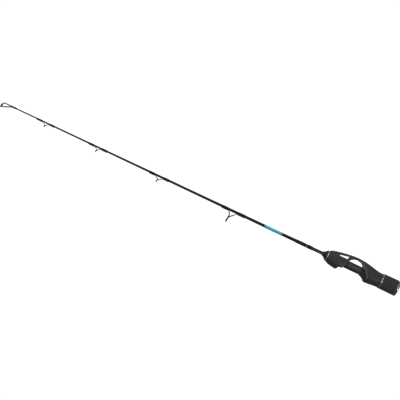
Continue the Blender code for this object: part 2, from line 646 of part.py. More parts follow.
def make_knob(body, finishes):
    """Pieces that turn with the hub: foam grip, two metal rings and the butt cap."""
    grip_rear = CAP_EDGE + REAR_RING_WIDTH + FACE_GAP
    grip_front = KNOB_LENGTH - FRONT_RING_WIDTH - FACE_GAP
    hole = HUB_RADIUS + GLUE_GAP
    turned("eva_grip", [
        (grip_rear, hole), (grip_rear, GRIP_REAR_RADIUS - GRIP_EDGE),
        (grip_rear + 2 * GRIP_EDGE, GRIP_REAR_RADIUS),
        (0.55 * grip_front, GRIP_FRONT_RADIUS + 0.3 * GRIP_FLARE),
        (grip_front - 2 * GRIP_EDGE, GRIP_FRONT_RADIUS),
        (grip_front, GRIP_FRONT_RADIUS - GRIP_EDGE), (grip_front, hole),
    ], body, finishes["foam"])
    tube("front_ring", grip_front + FACE_GAP, KNOB_LENGTH, hole, GRIP_FRONT_RADIUS + RING_PROUD, body,
         finishes["copper"], RING_CHAMFER)
    tube("rear_ring", CAP_EDGE, CAP_EDGE + REAR_RING_WIDTH, CAP_RADIUS + GLUE_GAP,
         GRIP_REAR_RADIUS + RING_PROUD, body, finishes["copper"], RING_CHAMFER, 40)
    plug = HUB_CAVITY_RADIUS - RUN_GAP
    plug_start = CAP_EDGE + REAR_RING_WIDTH
    turned("butt_cap", [
        (0, 0), (0, CAP_RADIUS - CAP_EDGE), (CAP_EDGE, CAP_RADIUS), (plug_start, CAP_RADIUS),
        (plug_start, plug), (CAP_PLUG_END, plug), (CAP_PLUG_END, 0),
    ], body, finishes["rubber"])


def make_core(body, finishes):
    """Pieces between barrel and blank, and the collar that stops the knob from coming off."""
    bore = BLANK_BUTT_RADIUS + GLUE_GAP
    skin_radius = BARREL_BORE_RADIUS - GLUE_GAP
    for name, start in (("rear_arbor", BLANK_START), ("front_arbor", BOSS_END - ARBOR_LENGTH)):
        tube(name, start, start + ARBOR_LENGTH, bore, skin_radius, body, finishes["foam"], 0, 24)
    flange_end = SPINDLE_END - GLUE_GAP
    plug_end = SPINDLE_END + COLLAR_PLUG_LENGTH
    turned("stop_collar", [
        (COLLAR_END, 0), (COLLAR_END, COLLAR_RADIUS - COLLAR_EDGE),
        (COLLAR_END + COLLAR_EDGE, COLLAR_RADIUS),
        (flange_end, COLLAR_RADIUS), (flange_end, skin_radius), (plug_end, skin_radius), (plug_end, 0),
    ], body, finishes["moulding"], 24)


def make_hood_small(body, finishes):
    """Snap ring and thrust washer between knob and hood."""
    tube("snap_ring", SNAP_GROOVE_START + SLIDE_GAP, SNAP_GROOVE_END - SLIDE_GAP,
         HUB_NOSE_RADIUS - SNAP_RING_BITE, HUB_NOSE_RADIUS + SLIDE_GAP + SNAP_RING_BITE, body,
         finishes["steel"], 0, 24)
    washer = HUB_NOSE_END + SLIDE_GAP
    tube("thrust_washer", washer, washer + WASHER_THICKNESS, SPINDLE_RADIUS + THREAD_GAP,
         HUB_NOSE_RADIUS - SLIDE_GAP, body, finishes["brass"], 0, 24)


def make_nose_trim(body, finishes):
    """Bright ring round the nose's boss, and the winding check that closes the handle."""
    hole = NOSE_BOSS_RADIUS + GLUE_GAP
    start = NOSE_END + GLUE_GAP
    rim = NOSE_END_RADIUS - 2 * GLUE_GAP
    turned("nose_trim_ring", [
        (start, hole), (start, rim), (start + 0.35 * TRIM_WIDTH, rim),
        (start + 0.75 * TRIM_WIDTH, NOSE_END_RADIUS - 0.5 * TRIM_TAPER),
        (TRIM_END, NOSE_END_RADIUS - TRIM_TAPER), (TRIM_END, hole),
    ], body, finishes["silver"])
    bore = BLANK_BUTT_RADIUS + GLUE_GAP
    flange_end = CHECK_START + CHECK_FLANGE_WIDTH
    turned("winding_check", [
        (CHECK_START, bore), (CHECK_START, CHECK_FLANGE_RADIUS), (flange_end, CHECK_FLANGE_RADIUS),
        (flange_end + CHECK_STEP, BLANK_BUTT_RADIUS + CHECK_NECK_WALL),
        (CHECK_END, BLANK_BUTT_RADIUS + CHECK_END_WALL), (CHECK_END, bore),
    ], body, finishes["check"], 24)


def make_blank(body, finish):
    """Hollow tapered blank, from the spindle to the tip tube."""
    end = TIP_TUBE_END - TIP_TUBE_FLOOR - FACE_GAP
    stations = [BLANK_START, TAPER_START, 0.5 * (TAPER_START + end), end]
    outside = [(s, blank_radius(s)) for s in stations]
    inside = [(s, BLANK_BORE_SHARE * radius) for s, radius in reversed(outside)]
    turned("blank", outside + inside, body, finish, SMALL_SIDES)


def band(name, place_and_size, body, finish):
    """A thin sleeve on the blank."""
    away, length, layer = place_and_size
    start = CHECK_END + away
    end = start + length
    near, far = blank_radius(start) + GLUE_GAP, blank_radius(end) + GLUE_GAP
    turned(name, [(start, near), (start, near + layer), (end, far + layer), (end, far)], body, finish,
           SMALL_SIDES)


def bar(name, path, widths, thicknesses, body, sides=6):
    """A bar swept along a path, its oval section given at each point by width and thickness."""
    path = np.array(path, float)
    tangent = np.gradient(path, axis=0)
    tangent /= np.linalg.norm(tangent, axis=1, keepdims=True)
    across = ACROSS - tangent * tangent[:, 1:2]
    across /= np.linalg.norm(across, axis=1, keepdims=True)
    normal = np.cross(tangent, across)
    angle = np.linspace(0, 2 * math.pi, sides, endpoint=False)
    rows = [
        point + np.outer(np.cos(angle), side * width / 2) + np.outer(np.sin(angle), up * thickness / 2)
        for point, side, up, width, thickness in zip(path, across, normal, widths, thicknesses)
    ]
    points, faces = skin(np.array(rows), False)
    return place(name, points, faces, body)


def tilted_ring(name, middle, tilt, profile, body, finish, sides=SMALL_SIDES):
    """Turns a closed profile of (along, radius) about a short axis that leans from the rod's."""
    angle = np.linspace(0, 2 * math.pi, sides, endpoint=False)
    forward = np.array([-math.cos(tilt), 0, -math.sin(tilt)])
    upward = np.array([-math.sin(tilt), 0, math.cos(tilt)])
    round_it = np.outer(np.sin(angle), upward) + np.outer(np.cos(angle), ACROSS)
    rows = [middle + along * forward + radius * round_it for along, radius in profile]
    points, faces = skin(np.array(rows), True)
    return place(name, points, faces, body, finish)


def ring_and_insert(prefix, middle, tilt, radius, width, body, finishes, sides=SMALL_SIDES):
    """Metal ring of a guide and the ceramic ring in it."""
    inner = radius - GUIDE_RING_WALL
    half = width / 2
    frame = tilted_ring(f"{prefix}_frame", middle, tilt, [
        (-half, inner), (-half, radius), (half, radius), (half, inner),
    ], body, finishes["guide"], sides)
    fit = inner - GLUE_GAP
    hole = fit - INSERT_WALL * min(1.0, radius / TIP_RING_RADIUS)
    crown = half + INSERT_CROWN
    shoulder = 0.5 * (fit + hole)
    tilted_ring(f"{prefix}_insert", middle, tilt, [
        (-half, fit), (half, fit), (crown, shoulder), (0.3 * half, hole), (-0.3 * half, hole),
        (-crown, shoulder),
    ], body, finishes["ceramic"], sides)
    return frame


def wrap(name, start, length, foot_depth, body, finish):
    """Thread wrap round blank and guide foot: a shell that swells below, where the foot lies."""
    sides = SMALL_SIDES
    angle = np.linspace(0, 2 * math.pi, sides, endpoint=False)
    away = np.abs((angle - 1.5 * math.pi + math.pi) % (2 * math.pi) - math.pi)
    swell = 0.5 + 0.5 * np.cos(np.clip((away - math.radians(40)) / math.radians(70), 0, 1) * math.pi)
    end = start + length

    def row(station, layer):
        close = blank_radius(station) + GLUE_GAP
        radius = close + swell * foot_depth + layer
        x = np.full(sides, x_of(station))
        return np.stack([x, radius * np.cos(angle), radius * np.sin(angle)], axis=-1)

    rows = [row(start, 0), row(start, WRAP_WALL), row(end, WRAP_WALL), row(end, 0)]
    points, faces = skin(np.array(rows), True)
    place(name, points, faces, body, finish)


def foot_height(station):
    """Height of the middle of a guide's foot, which lies on the blank from below."""
    return -(blank_radius(station) + GLUE_GAP + FOOT_THICKNESS / 2)


def ring_point(middle, radius, turn_up, side=1):
    """A point in a guide ring's wall: turn_up is the angle above the ring's level."""
    reach = radius - 0.45 * GUIDE_RING_WALL
    upward = np.array([-math.sin(GUIDE_TILT), 0, math.cos(GUIDE_TILT)])
    return middle + reach * (math.sin(turn_up) * upward + side * math.cos(turn_up) * ACROSS)


def front_leg(prefix, ring, middle, sizes, body):
    """The single leg from the ring's top forward to its foot on the blank."""
    wire, foot_width = sizes["wire"] * MM, sizes["foot"] * MM
    base = ring + sizes["front"] * MM
    tip = base + FOOT_LENGTH_SHARE * sizes["wraps"][0] * MM
    heel, rise = base - 0.2 * (base - ring), base - 0.35 * (base - ring)
    top = ring_point(middle, sizes["radius"] * MM, math.radians(90))
    path = [
        (x_of(tip), 0, foot_height(tip)),
        (x_of(base + LEG_HEEL), 0, foot_height(base + LEG_HEEL)),
        (x_of(heel), 0, foot_height(base) - 0.8 * FOOT_THICKNESS),
        0.5 * (top + np.array([x_of(rise), 0, foot_height(base) - 2 * FOOT_THICKNESS])),
        top,
    ]
    widths = [0.7 * foot_width, foot_width, foot_width, wire, wire]
    thick = [0.5 * FOOT_THICKNESS, FOOT_THICKNESS, 1.2 * FOOT_THICKNESS, 0.8 * wire, 0.8 * wire]
    return bar(f"{prefix}_front_leg", path, widths, thick, body)


def rear_legs(prefix, ring, middle, sizes, body):
    """The pair of legs from the ring's sides back to one foot, which the right leg carries."""
    wire, foot_width, radius = sizes["wire"] * MM, sizes["foot"] * MM, sizes["radius"] * MM
    base = ring - sizes["rear"] * MM
    tip = base - FOOT_LENGTH_SHARE * sizes["wraps"][1] * MM
    legs = []
    for side, name in ((-1, "left"), (1, "right")):
        joint = ring_point(middle, radius, REAR_LEG_TURN, side)
        heel = np.array([x_of(base - LEG_HEEL), 0, foot_height(base)])
        bend = np.array([x_of(base + 2.5 * LEG_HEEL), side * 0.25 * foot_width,
                         foot_height(base) - 0.9 * FOOT_THICKNESS])
        path = [heel, bend, 0.5 * (bend + joint) + 0.12 * side * radius * ACROSS, joint]
        widths = [0.9 * foot_width, 0.9 * foot_width, wire, wire]
        thick = [0.9 * FOOT_THICKNESS, 1.3 * FOOT_THICKNESS, 0.8 * wire, 0.8 * wire]
        if side == 1:
            path.insert(0, np.array([x_of(tip), 0, foot_height(tip)]))
            widths.insert(0, 0.7 * foot_width)
            thick.insert(0, 0.5 * FOOT_THICKNESS)
        legs.append(bar(f"{prefix}_{name}_leg", path, widths, thick, body))
    return legs


def guide_stations():
    """Stations of the guide rings: the gaps from the first ring to the tip shrink evenly."""
    first = CHECK_END + BAND_FRONT_TRIM[0] + BAND_FRONT_TRIM[1] + FIRST_GUIDE_AHEAD
    gaps = GUIDE_SPACING ** np.arange(len(GUIDES))
    reach = (np.cumsum(gaps) - gaps) / gaps.sum()
    return first + reach * (TOTAL_LENGTH - first)


def make_guide(number, ring, sizes, body, finishes):
    """A two-footed guide: ring, insert, one leg in front, a pair behind, and the two wraps."""
    prefix = f"guide_{number}"
    radius, wire = sizes["radius"] * MM, sizes["wire"] * MM
    middle = np.array([x_of(ring), 0, -sizes["drop"] * MM - radius])
    sides = 24 if radius > TIP_RING_RADIUS else SMALL_SIDES
    frame = ring_and_insert(prefix, middle, GUIDE_TILT, radius, wire, body, finishes, sides)
    left_leg, right_leg = rear_legs(prefix, ring, middle, sizes, body)
    join(frame, front_leg(prefix, ring, middle, sizes, body), right_leg, left_leg)
    cut(frame, ring_room(f"{prefix}_room", middle, GUIDE_TILT, radius, wire, body))
    swell = FOOT_THICKNESS + 2 * GLUE_GAP
    front_wrap, rear_wrap = (length * MM for length in sizes["wraps"])
    front_start = ring + sizes["front"] * MM + WRAP_SETBACK
    rear_start = ring - sizes["rear"] * MM - WRAP_SETBACK - rear_wrap
    wrap(f"{prefix}_front_wrap", front_start, front_wrap, swell, body, finishes["wrap"])
    wrap(f"{prefix}_rear_wrap", rear_start, rear_wrap, swell, body, finishes["wrap"])


def ring_room(name, middle, tilt, ring_radius, width, body, sides=24):
    """A short leaning cylinder that keeps the room for a ring's insert open."""
    radius = ring_radius - GUIDE_RING_WALL
    half = 0.5 * width + ROOM_MARGIN
    angle = np.linspace(0, 2 * math.pi, sides, endpoint=False)
    forward = np.array([-math.cos(tilt), 0, -math.sin(tilt)])
    upward = np.array([-math.sin(tilt), 0, math.cos(tilt)])
    round_it = np.outer(np.sin(angle), upward) + np.outer(np.cos(angle), ACROSS)
    rows = [middle + along * forward + radius * round_it for along in (-half, half)]
    points, faces = skin(np.array(rows), False)
    return place(name, points, faces, body)


def make_tip_top(body, finishes):
    """Tip-top: a thimble on the blank's end, one strut above and a pair below that carry the ring."""
    middle = np.array([x_of(TIP_RING_STATION), 0, -TIP_RING_DROP])
    frame = ring_and_insert("tip_top", middle, TIP_RING_TILT, TIP_RING_RADIUS, TIP_RING_WIDTH, body,
                            finishes, 24)
    inner = blank_radius(TIP_TUBE_START) + GLUE_GAP
    outer = inner + TIP_TUBE_WALL
    floor = TIP_TUBE_END - TIP_TUBE_FLOOR
    nose = TIP_TUBE_END + TIP_TUBE_FLOOR
    thimble = turned("tip_thimble", [
        (floor, 0), (floor, inner), (TIP_TUBE_START, inner), (TIP_TUBE_START, outer), (TIP_TUBE_END, outer),
        (nose, 0.5 * outer), (nose, 0),
    ], body, None, SMALL_SIDES)
    reach = TIP_RING_RADIUS - 0.5 * GUIDE_RING_WALL
    upward = np.array([-math.sin(TIP_RING_TILT), 0, math.cos(TIP_RING_TILT)])
    top = middle + reach * upward
    root = np.array([x_of(TIP_TUBE_END - 0.3 * TIP_TUBE_FLOOR), 0, 0])
    sizes = [TIP_STRUT_WIDTH] * 3
    shoulder = np.array([x_of(TIP_RING_STATION - TIP_STRUT_SHOULDER), 0, TIP_STRUT_BOW])
    upper = bar("tip_upper_strut", [root, shoulder, top], sizes, sizes, body)
    lower = []
    for side in (-1, 1):
        level, out = math.sin(TIP_STRUT_TURN), side * math.cos(TIP_STRUT_TURN)
        foot = middle + reach * (level * upward + out * ACROSS)
        start = np.array([x_of(TIP_TUBE_END), side * 0.35 * outer, -0.4 * outer])
        bend = start + 0.35 * (foot - start) + np.array([0, 0, -2.75 * TIP_STRUT_BOW])
        lower.append(bar(f"tip_lower_strut_{side}", [start, bend, foot], sizes, sizes, body))
    join(frame, thimble, upper, *lower)
    cut(frame, ring_room("tip_room", middle, TIP_RING_TILT, TIP_RING_RADIUS, TIP_RING_WIDTH, body))


def main():
    for old in list(bpy.data.objects):
        bpy.data.objects.remove(old)
    finishes = {
        "moulding": material("moulded_nylon", (0.032, 0.032, 0.03), 0.42),
        "barrel": material("barrel_nylon", (0.026, 0.026, 0.025), 0.48),
        "foam": material("closed_cell_foam", (0.04, 0.037, 0.035), 0.9),
        "copper": material("copper_anodised", (0.42, 0.25, 0.14), 0.32, 1.0),
        "rubber": material("black_rubber", (0.03, 0.03, 0.03), 0.75),
        "steel": material("spring_steel", (0.5, 0.5, 0.5), 0.3, 1.0),
        "brass": material("washer_brass", (0.7, 0.5, 0.2), 0.35, 1.0),
        "silver": material("bright_trim", (0.75, 0.75, 0.73), 0.2, 1.0),
        "check": material("winding_check_rubber", (0.02, 0.02, 0.02), 0.5),
        "blank": material("carbon_blank", (0.02, 0.02, 0.02), 0.25),
        "blue": material("blue_band", (0.04, 0.36, 0.46), 0.3),
        "thread": material("black_thread", (0.015, 0.015, 0.015), 0.2),
        "wrap": material("guide_thread", (0.012, 0.012, 0.012), 0.2),
        "guide": material("guide_steel", (0.04, 0.04, 0.045), 0.3, 0.8),
        "ceramic": material("guide_ceramic", (0.1, 0.1, 0.11), 0.15),
    }
    rod = carrier("rod_line")
    hood = carrier("hood_slide", rod)
    knob = carrier("knob_screw", hood)
    make_seat_shell(rod, finishes["moulding"])
    make_barrel(rod, finishes["barrel"])
    make_core(rod, finishes)
    make_nose_trim(rod, finishes)
    make_blank(rod, finishes["blank"])
    band("end_wrap", END_WRAP, rod, finishes["thread"])
    band("end_trim", END_TRIM, rod, finishes["silver"])
    band("butt_wrap", BUTT_WRAP, rod, finishes["thread"])
    band("band_rear_trim", BAND_REAR_TRIM, rod, finishes["silver"])
    band("blue_band", BLUE_BAND, rod, finishes["blue"])
    band("band_front_trim", BAND_FRONT_TRIM, rod, finishes["silver"])
    for number, (ring, sizes) in enumerate(zip(guide_stations(), GUIDES), start=1):
        make_guide(number, ring, sizes, rod, finishes)
    make_tip_top(rod, finishes)
    make_hood(hood, finishes["moulding"])
    make_hood_small(hood, finishes)
    make_hub(knob, finishes["moulding"])
    make_knob(knob, finishes)


main()
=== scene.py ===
"""Looks of the short ice fishing rod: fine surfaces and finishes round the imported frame.

Lengths inside the shape functions are millimetres.  A point there is (along, across, up): along is
minus the distance from the butt's end face, so it grows towards the butt as world x does; across is
world y; up is the height above the rod's centre line.  make() turns such points into world metres.
"""
import json
import math

import bpy
import numpy as np
from mathutils import Matrix, Vector


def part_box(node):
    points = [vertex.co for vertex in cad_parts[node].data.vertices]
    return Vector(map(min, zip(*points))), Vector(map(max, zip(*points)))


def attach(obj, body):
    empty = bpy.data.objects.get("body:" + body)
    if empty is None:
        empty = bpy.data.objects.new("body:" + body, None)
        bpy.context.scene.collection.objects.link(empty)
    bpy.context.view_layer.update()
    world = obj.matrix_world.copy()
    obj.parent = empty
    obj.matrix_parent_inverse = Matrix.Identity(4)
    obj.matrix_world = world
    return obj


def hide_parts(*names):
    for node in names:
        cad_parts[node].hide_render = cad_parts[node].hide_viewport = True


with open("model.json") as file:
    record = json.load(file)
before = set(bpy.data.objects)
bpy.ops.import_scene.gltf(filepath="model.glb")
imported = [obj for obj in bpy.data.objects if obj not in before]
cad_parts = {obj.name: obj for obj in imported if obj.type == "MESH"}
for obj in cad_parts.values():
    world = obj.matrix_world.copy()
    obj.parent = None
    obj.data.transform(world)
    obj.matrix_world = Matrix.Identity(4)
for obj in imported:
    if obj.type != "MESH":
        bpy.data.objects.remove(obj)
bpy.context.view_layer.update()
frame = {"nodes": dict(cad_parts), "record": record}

MM = 0.001
TAU = 2 * math.pi
BODY_OF = {node: body for body, nodes in frame["record"]["behaviour"]["bodies"].items() for node in nodes}
BUTT_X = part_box("butt_cap")[1].x
AXIS_Z = 0.5 * (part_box("winding_check")[0].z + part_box("winding_check")[1].z)


# ---------------------------------------------------------------- measures from the frame

def stations(node):
    """The two distances from the butt, in millimetres, between which a node lies."""
    low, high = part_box(node)
    return (BUTT_X - high.x) / MM, (BUTT_X - low.x) / MM


def width_radius(node):
    """Half of a node's width across the rod, in millimetres."""
    low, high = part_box(node)
    return 0.5 * (high.y - low.y) / MM


def ring_place(node):
    """Middle of a leaning ring, as (station, height above the centre line), and its half width, in
    millimetres."""
    low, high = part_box(node)
    station = (BUTT_X - 0.5 * (low.x + high.x)) / MM
    height = (0.5 * (low.z + high.z) - AXIS_Z) / MM
    return station, height, width_radius(node)


KNOB_END = stations("front_ring")[1]
HOUSING_REAR, SHELL_FRONT = stations("seat_shell")
NOSE_END = stations("nose_trim_ring")[0] - 0.08
HOOD_REAR, HOOD_FRONT = stations("sliding_hood")
SEAT_MIDDLE = BUTT_X / MM
BARREL_FRONT = stations("seat_barrel")[1]
WINDOW_LENGTH = 52.0
REAR_LIP = SEAT_MIDDLE - WINDOW_LENGTH / 2
FRONT_LIP = SEAT_MIDDLE + WINDOW_LENGTH / 2
NOSE_LENGTH = NOSE_END - FRONT_LIP
HOUSING_LENGTH = REAR_LIP - HOUSING_REAR
HOUSING_RADIUS = 12.6
BARREL_RADIUS = 7.3
BARREL_BORE = 4.6
ARCH_HEIGHT = 19.02
ARCH_PEAK = SEAT_MIDDLE - 0.05 * WINDOW_LENGTH
PAD_DROP = AXIS_Z / MM
THREAD_LEAD = 2.5
TAPER_START = stations("end_wrap")[0]
TIP_TOP_LENGTH = 18.07
TAPER_END = stations("tip_top_frame")[1] - TIP_TOP_LENGTH
BLANK_RADII = 2.6, 0.75


def blank_radius(station):
    """Radius of the blank: parallel up to the first wrap, then an even taper to the tip."""
    share = np.clip((station - TAPER_START) / (TAPER_END - TAPER_START), 0, 1)
    return BLANK_RADII[0] + (BLANK_RADII[1] - BLANK_RADII[0]) * share


# ---------------------------------------------------------------- meshes

def make(name, points, faces, finish, flat_angle):
    """A closed mesh from points in millimetres.  Its faces are turned outwards by the sign of the
    enclosed volume, the sum of a . (b x c) / 6 over its triangles."""
    points = np.asarray(points, float)
    faces = np.asarray(faces)
    corner = points[faces]
    volume = np.einsum("ij,ij->i", corner[:, 0], np.cross(corner[:, 1], corner[:, 2])).sum()
    if faces.shape[1] == 4:
        volume += np.einsum("ij,ij->i", corner[:, 0], np.cross(corner[:, 2], corner[:, 3])).sum()
    if volume < 0:
        faces = faces[:, ::-1]
    world = points * MM + np.array([BUTT_X, 0, AXIS_Z])
    mesh = bpy.data.meshes.new(name)
    mesh.vertices.add(len(world))
    mesh.vertices.foreach_set("co", world.ravel().astype(np.float32))
    mesh.loops.add(faces.size)
    mesh.loops.foreach_set("vertex_index", faces.ravel().astype(np.int32))
    mesh.polygons.add(len(faces))
    mesh.polygons.foreach_set("loop_start", np.arange(0, faces.size, faces.shape[1], dtype=np.int32))
    mesh.update(calc_edges=True)
    mesh.validate()
    mesh.shade_smooth()
    if flat_angle:
        mesh.set_sharp_from_angle(angle=math.radians(flat_angle))
    mesh.materials.append(finish)
    piece = bpy.data.objects.new(name, mesh)
    bpy.context.scene.collection.objects.link(piece)
    return piece


def note_on(piece, name, values):
    """Keeps one number per point on the piece, for its finish to read."""
    kept = piece.data.attributes.new(name, "FLOAT", "POINT").data
    kept.foreach_set("value", np.ravel(values).astype(np.float32))


def stand_for(piece, node):
    """The piece takes the place of a node of the frame and moves with that node's body."""
    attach(piece, BODY_OF[node])
    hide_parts(node)
    return piece


def ring_faces(rows, columns, joined):
    """Quads of a grid whose rows are closed loops; joined rows close end to end as well."""
    index = np.arange(rows * columns).reshape(rows, columns)
    lower = index if joined else index[:-1]
    upper = np.roll(index, -1, axis=0) if joined else index[1:]
    quads = np.stack([lower, np.roll(lower, -1, 1), np.roll(upper, -1, 1), upper], axis=-1)
    return quads.reshape(-1, 4)


def turned(name, outline, finish, sides):
    """Turns a closed outline about the rod: point (s, r) of the outline goes to
    (-s, r cos a, r sin a) for every angle a.  An outline that begins and ends on the axis closes
    there in a fan of thin quads."""
    outline = np.asarray(outline, float)
    angle = np.linspace(0, TAU, sides, endpoint=False)
    joined = outline[:, 1].min() > 0
    radius = np.maximum(outline[:, 1], 1e-4)
    grid = np.stack([
        np.repeat(-outline[:, :1], sides, axis=1), np.outer(radius, np.cos(angle)),
        np.outer(radius, np.sin(angle)),
    ], axis=-1)
    return grid_piece(name, grid, finish, joined, 40)


def grid_piece(name, grid, finish, joined, flat_angle):
    """A piece from a grid of closed rows.  Where the rows don't join end to end, each end is closed
    by a ring of quads that meet in one point in its middle."""
    rows, columns, _ = grid.shape
    points = grid.reshape(-1, 3)
    faces = ring_faces(rows, columns, joined)
    if not joined:
        first, last = len(points), len(points) + 1
        points = np.vstack([points, grid[0].mean(0), grid[-1].mean(0)])
        even = np.arange(0, columns, 2)
        odd, after = even + 1, (even + 2) % columns
        base = (rows - 1) * columns
        start = np.stack([np.full_like(even, first), after, odd, even], axis=-1)
        stop = np.stack([np.full_like(even, last), base + even, base + odd, base + after], axis=-1)
        faces = np.vstack([faces, start, stop])
    return make(name, points, faces, finish, flat_angle)


def softened(corners, radius, steps=4):
    """A closed outline with each corner replaced by a curve: the quadratic blend of the points a
    radius before and after it.  A third value in a corner is its own radius."""
    points = [np.array(corner[:2], float) for corner in corners]
    radii = [corner[2] if len(corner) > 2 else radius for corner in corners]
    blend = np.linspace(0, 1, steps + 1)[:, None]
    result = []
    for before, here, after, bend in zip(points[-1:] + points[:-1], points, points[1:] + points[:1], radii):
        if bend == 0:
            result.append(here[None])
            continue
        back, ahead = before - here, after - here
        reach = min(bend, 0.45 * np.linalg.norm(back), 0.45 * np.linalg.norm(ahead))
        start = here + back / np.linalg.norm(back) * reach
        stop = here + ahead / np.linalg.norm(ahead) * reach
        result.append((1 - blend) ** 2 * start + 2 * blend * (1 - blend) * here + blend**2 * stop)
    return np.vstack(result)


def sliced(outline, pitch):
    """Adds points to a closed outline so that no step in it is longer than the pitch."""
    ends = np.roll(outline, -1, axis=0)
    result = []
    for start, stop in zip(outline, ends):
        count = max(1, math.ceil(np.linalg.norm(stop - start) / pitch))
        result.append(start + (stop - start) * (np.arange(count) / count)[:, None])
    return np.vstack(result)


# ---------------------------------------------------------------- solids from distances

def skin_of(name, distance, low, high, pitch, finish):
    """Surface of a solid that is given by a distance function, negative inside.

    The function is read on a grid.  Each cell that the surface crosses gets one point, the mean of
    the crossings on its edges, and each grid edge that the surface crosses gets one quad round it.
    Then every point slides down the distance's slope onto the surface.
    """
    low = np.asarray(low, float)
    counts = np.ceil((np.asarray(high, float) - low) / pitch).astype(int) + 1
    axes = [low[i] + pitch * np.arange(counts[i]) for i in range(3)]
    along, across, up = np.meshgrid(*axes, indexing="ij", sparse=True)
    field = np.broadcast_to(distance(along, across, up), tuple(counts)).astype(np.float32)
    inside = field < 0
    corners = sum(
        inside[i:counts[0] - 1 + i, j:counts[1] - 1 + j, k:counts[2] - 1 + k].astype(np.int8)
        for i in (0, 1) for j in (0, 1) for k in (0, 1)
    )
    cells = np.argwhere((corners > 0) & (corners < 8))
    number = np.full(corners.shape, -1, np.int64)
    number[tuple(cells.T)] = np.arange(len(cells))
    total = np.zeros((len(cells), 3))
    hits = np.zeros(len(cells))
    quads = []
    for axis in range(3):
        second, third = (axis + 1) % 3, (axis + 2) % 3
        step = np.eye(3, dtype=int)[axis]
        for j in (0, 1):
            for k in (0, 1):
                offset = j * np.eye(3, dtype=int)[second] + k * np.eye(3, dtype=int)[third]
                start = field[tuple((cells + offset).T)]
                stop = field[tuple((cells + offset + step).T)]
                crossed = (start < 0) != (stop < 0)
                share = np.where(crossed, start / np.where(crossed, start - stop, 1), 0)
                total += crossed[:, None] * (offset + share[:, None] * step)
                hits += crossed
        lower = np.take(inside, np.arange(counts[axis] - 1), axis=axis)
        upper = np.take(inside, np.arange(1, counts[axis]), axis=axis)
        edges = np.argwhere(lower != upper)
        room = (edges[:, second] > 0) & (edges[:, second] < counts[second] - 1)
        room &= (edges[:, third] > 0) & (edges[:, third] < counts[third] - 1)
        edges = edges[room]
        one, two = np.eye(3, dtype=int)[second], np.eye(3, dtype=int)[third]
        ring = [edges - one - two, edges - two, edges, edges - one]
        quad = np.stack([number[tuple(cell.T)] for cell in ring], axis=-1)
        leaving = inside[tuple(edges.T)]
        quads.append(np.where(leaving[:, None], quad, quad[:, ::-1]))
    points = low + pitch * (cells + total / hits[:, None])
    return make(name, settle(points, field, low, pitch), np.vstack(quads), finish, 0)


def settle(points, field, low, pitch):
    """Moves each point by minus the distance along the distance's slope, both read between the
    grid's values, and never further than half a cell, three times over."""
    for _ in range(3):
        place = (points - low) / pitch
        cell = np.clip(np.floor(place).astype(int), 0, np.array(field.shape) - 2)
        t = place - cell
        value = np.zeros(len(points))
        slope = np.zeros((len(points), 3))
        for i in (0, 1):
            for j in (0, 1):
                for k in (0, 1):
                    corner = field[cell[:, 0] + i, cell[:, 1] + j, cell[:, 2] + k]
                    weights = [t[:, n] if bit else 1 - t[:, n] for n, bit in enumerate((i, j, k))]
                    signs = [1 if bit else -1 for bit in (i, j, k)]
                    value += corner * weights[0] * weights[1] * weights[2]
                    slope[:, 0] += corner * signs[0] * weights[1] * weights[2]
                    slope[:, 1] += corner * signs[1] * weights[0] * weights[2]
                    slope[:, 2] += corner * signs[2] * weights[0] * weights[1]
        steepness = np.maximum((slope**2).sum(1), 1e-3)
        move = -(value / steepness)[:, None] * slope
        length = np.linalg.norm(move, axis=1, keepdims=True)
        points = points + pitch * move * np.minimum(1, 0.5 / np.maximum(length, 1e-9))
    return points


def keep_both(first, second, radius):
    """Where two solids meet: the larger distance, with a round edge of the given radius."""
    one, two = np.maximum(radius + first, 0), np.maximum(radius + second, 0)
    return np.minimum(np.maximum(first, second), -radius) + np.sqrt(one**2 + two**2)


def take_away(solid, cutter, radius):
    """A solid less a cutter, with round edges."""
    return keep_both(solid, -cutter, radius)


def add_to(first, second, radius):
    """Two solids joined: the smaller distance, with a fillet of the given radius."""
    one, two = np.maximum(radius - first, 0), np.maximum(radius - second, 0)
    return np.maximum(np.minimum(first, second), radius) - np.sqrt(one**2 + two**2)


def outline_distance(x, y, outline):
    """Signed distance from points to a closed outline: the least distance to its sides, negative
    where a ray from the point crosses the outline an odd number of times."""
    shape = np.broadcast(x, y).shape
    x, y = np.broadcast_to(x, shape).ravel(), np.broadcast_to(y, shape).ravel()
    least = np.full(x.shape, np.inf)
    odd = np.zeros(x.shape, bool)
    for (ax, ay), (bx, by) in zip(outline, np.roll(outline, -1, axis=0)):
        dx, dy = bx - ax, by - ay
        t = np.clip(((x - ax) * dx + (y - ay) * dy) / max(dx * dx + dy * dy, 1e-12), 0, 1)
        least = np.minimum(least, (x - ax - t * dx) ** 2 + (y - ay - t * dy) ** 2)
        spans = (ay > y) != (by > y)
        odd ^= spans & (x < ax + (y - ay) * dx / (dy if dy else 1e-12))
    return (np.where(odd, -1, 1) * np.sqrt(least)).reshape(shape)


def between(along, start, end):
    """Distance to the slab between two stations."""
    middle, half = -(start + end) / 2, abs(end - start) / 2
    return np.abs(along - middle) - half


def cylinder(along, across, up, radius, start, end):
    """Distance to a cylinder on the rod's centre line between two stations."""
    return keep_both(np.hypot(across, up) - radius, between(along, start, end), 1e-3)


def pocket(along, across, up, radius, half_width, top, start, end):
    """Distance to a pocket below the centre line: its floor is an arc about the centre line, its
    sides are upright and it is closed above."""
    section = np.maximum(np.hypot(across, up) - radius, np.abs(across) - half_width)
    section = np.maximum(section, up - top)
    return np.maximum(section, between(along, start, end))


# ---------------------------------------------------------------- seat shell and hood

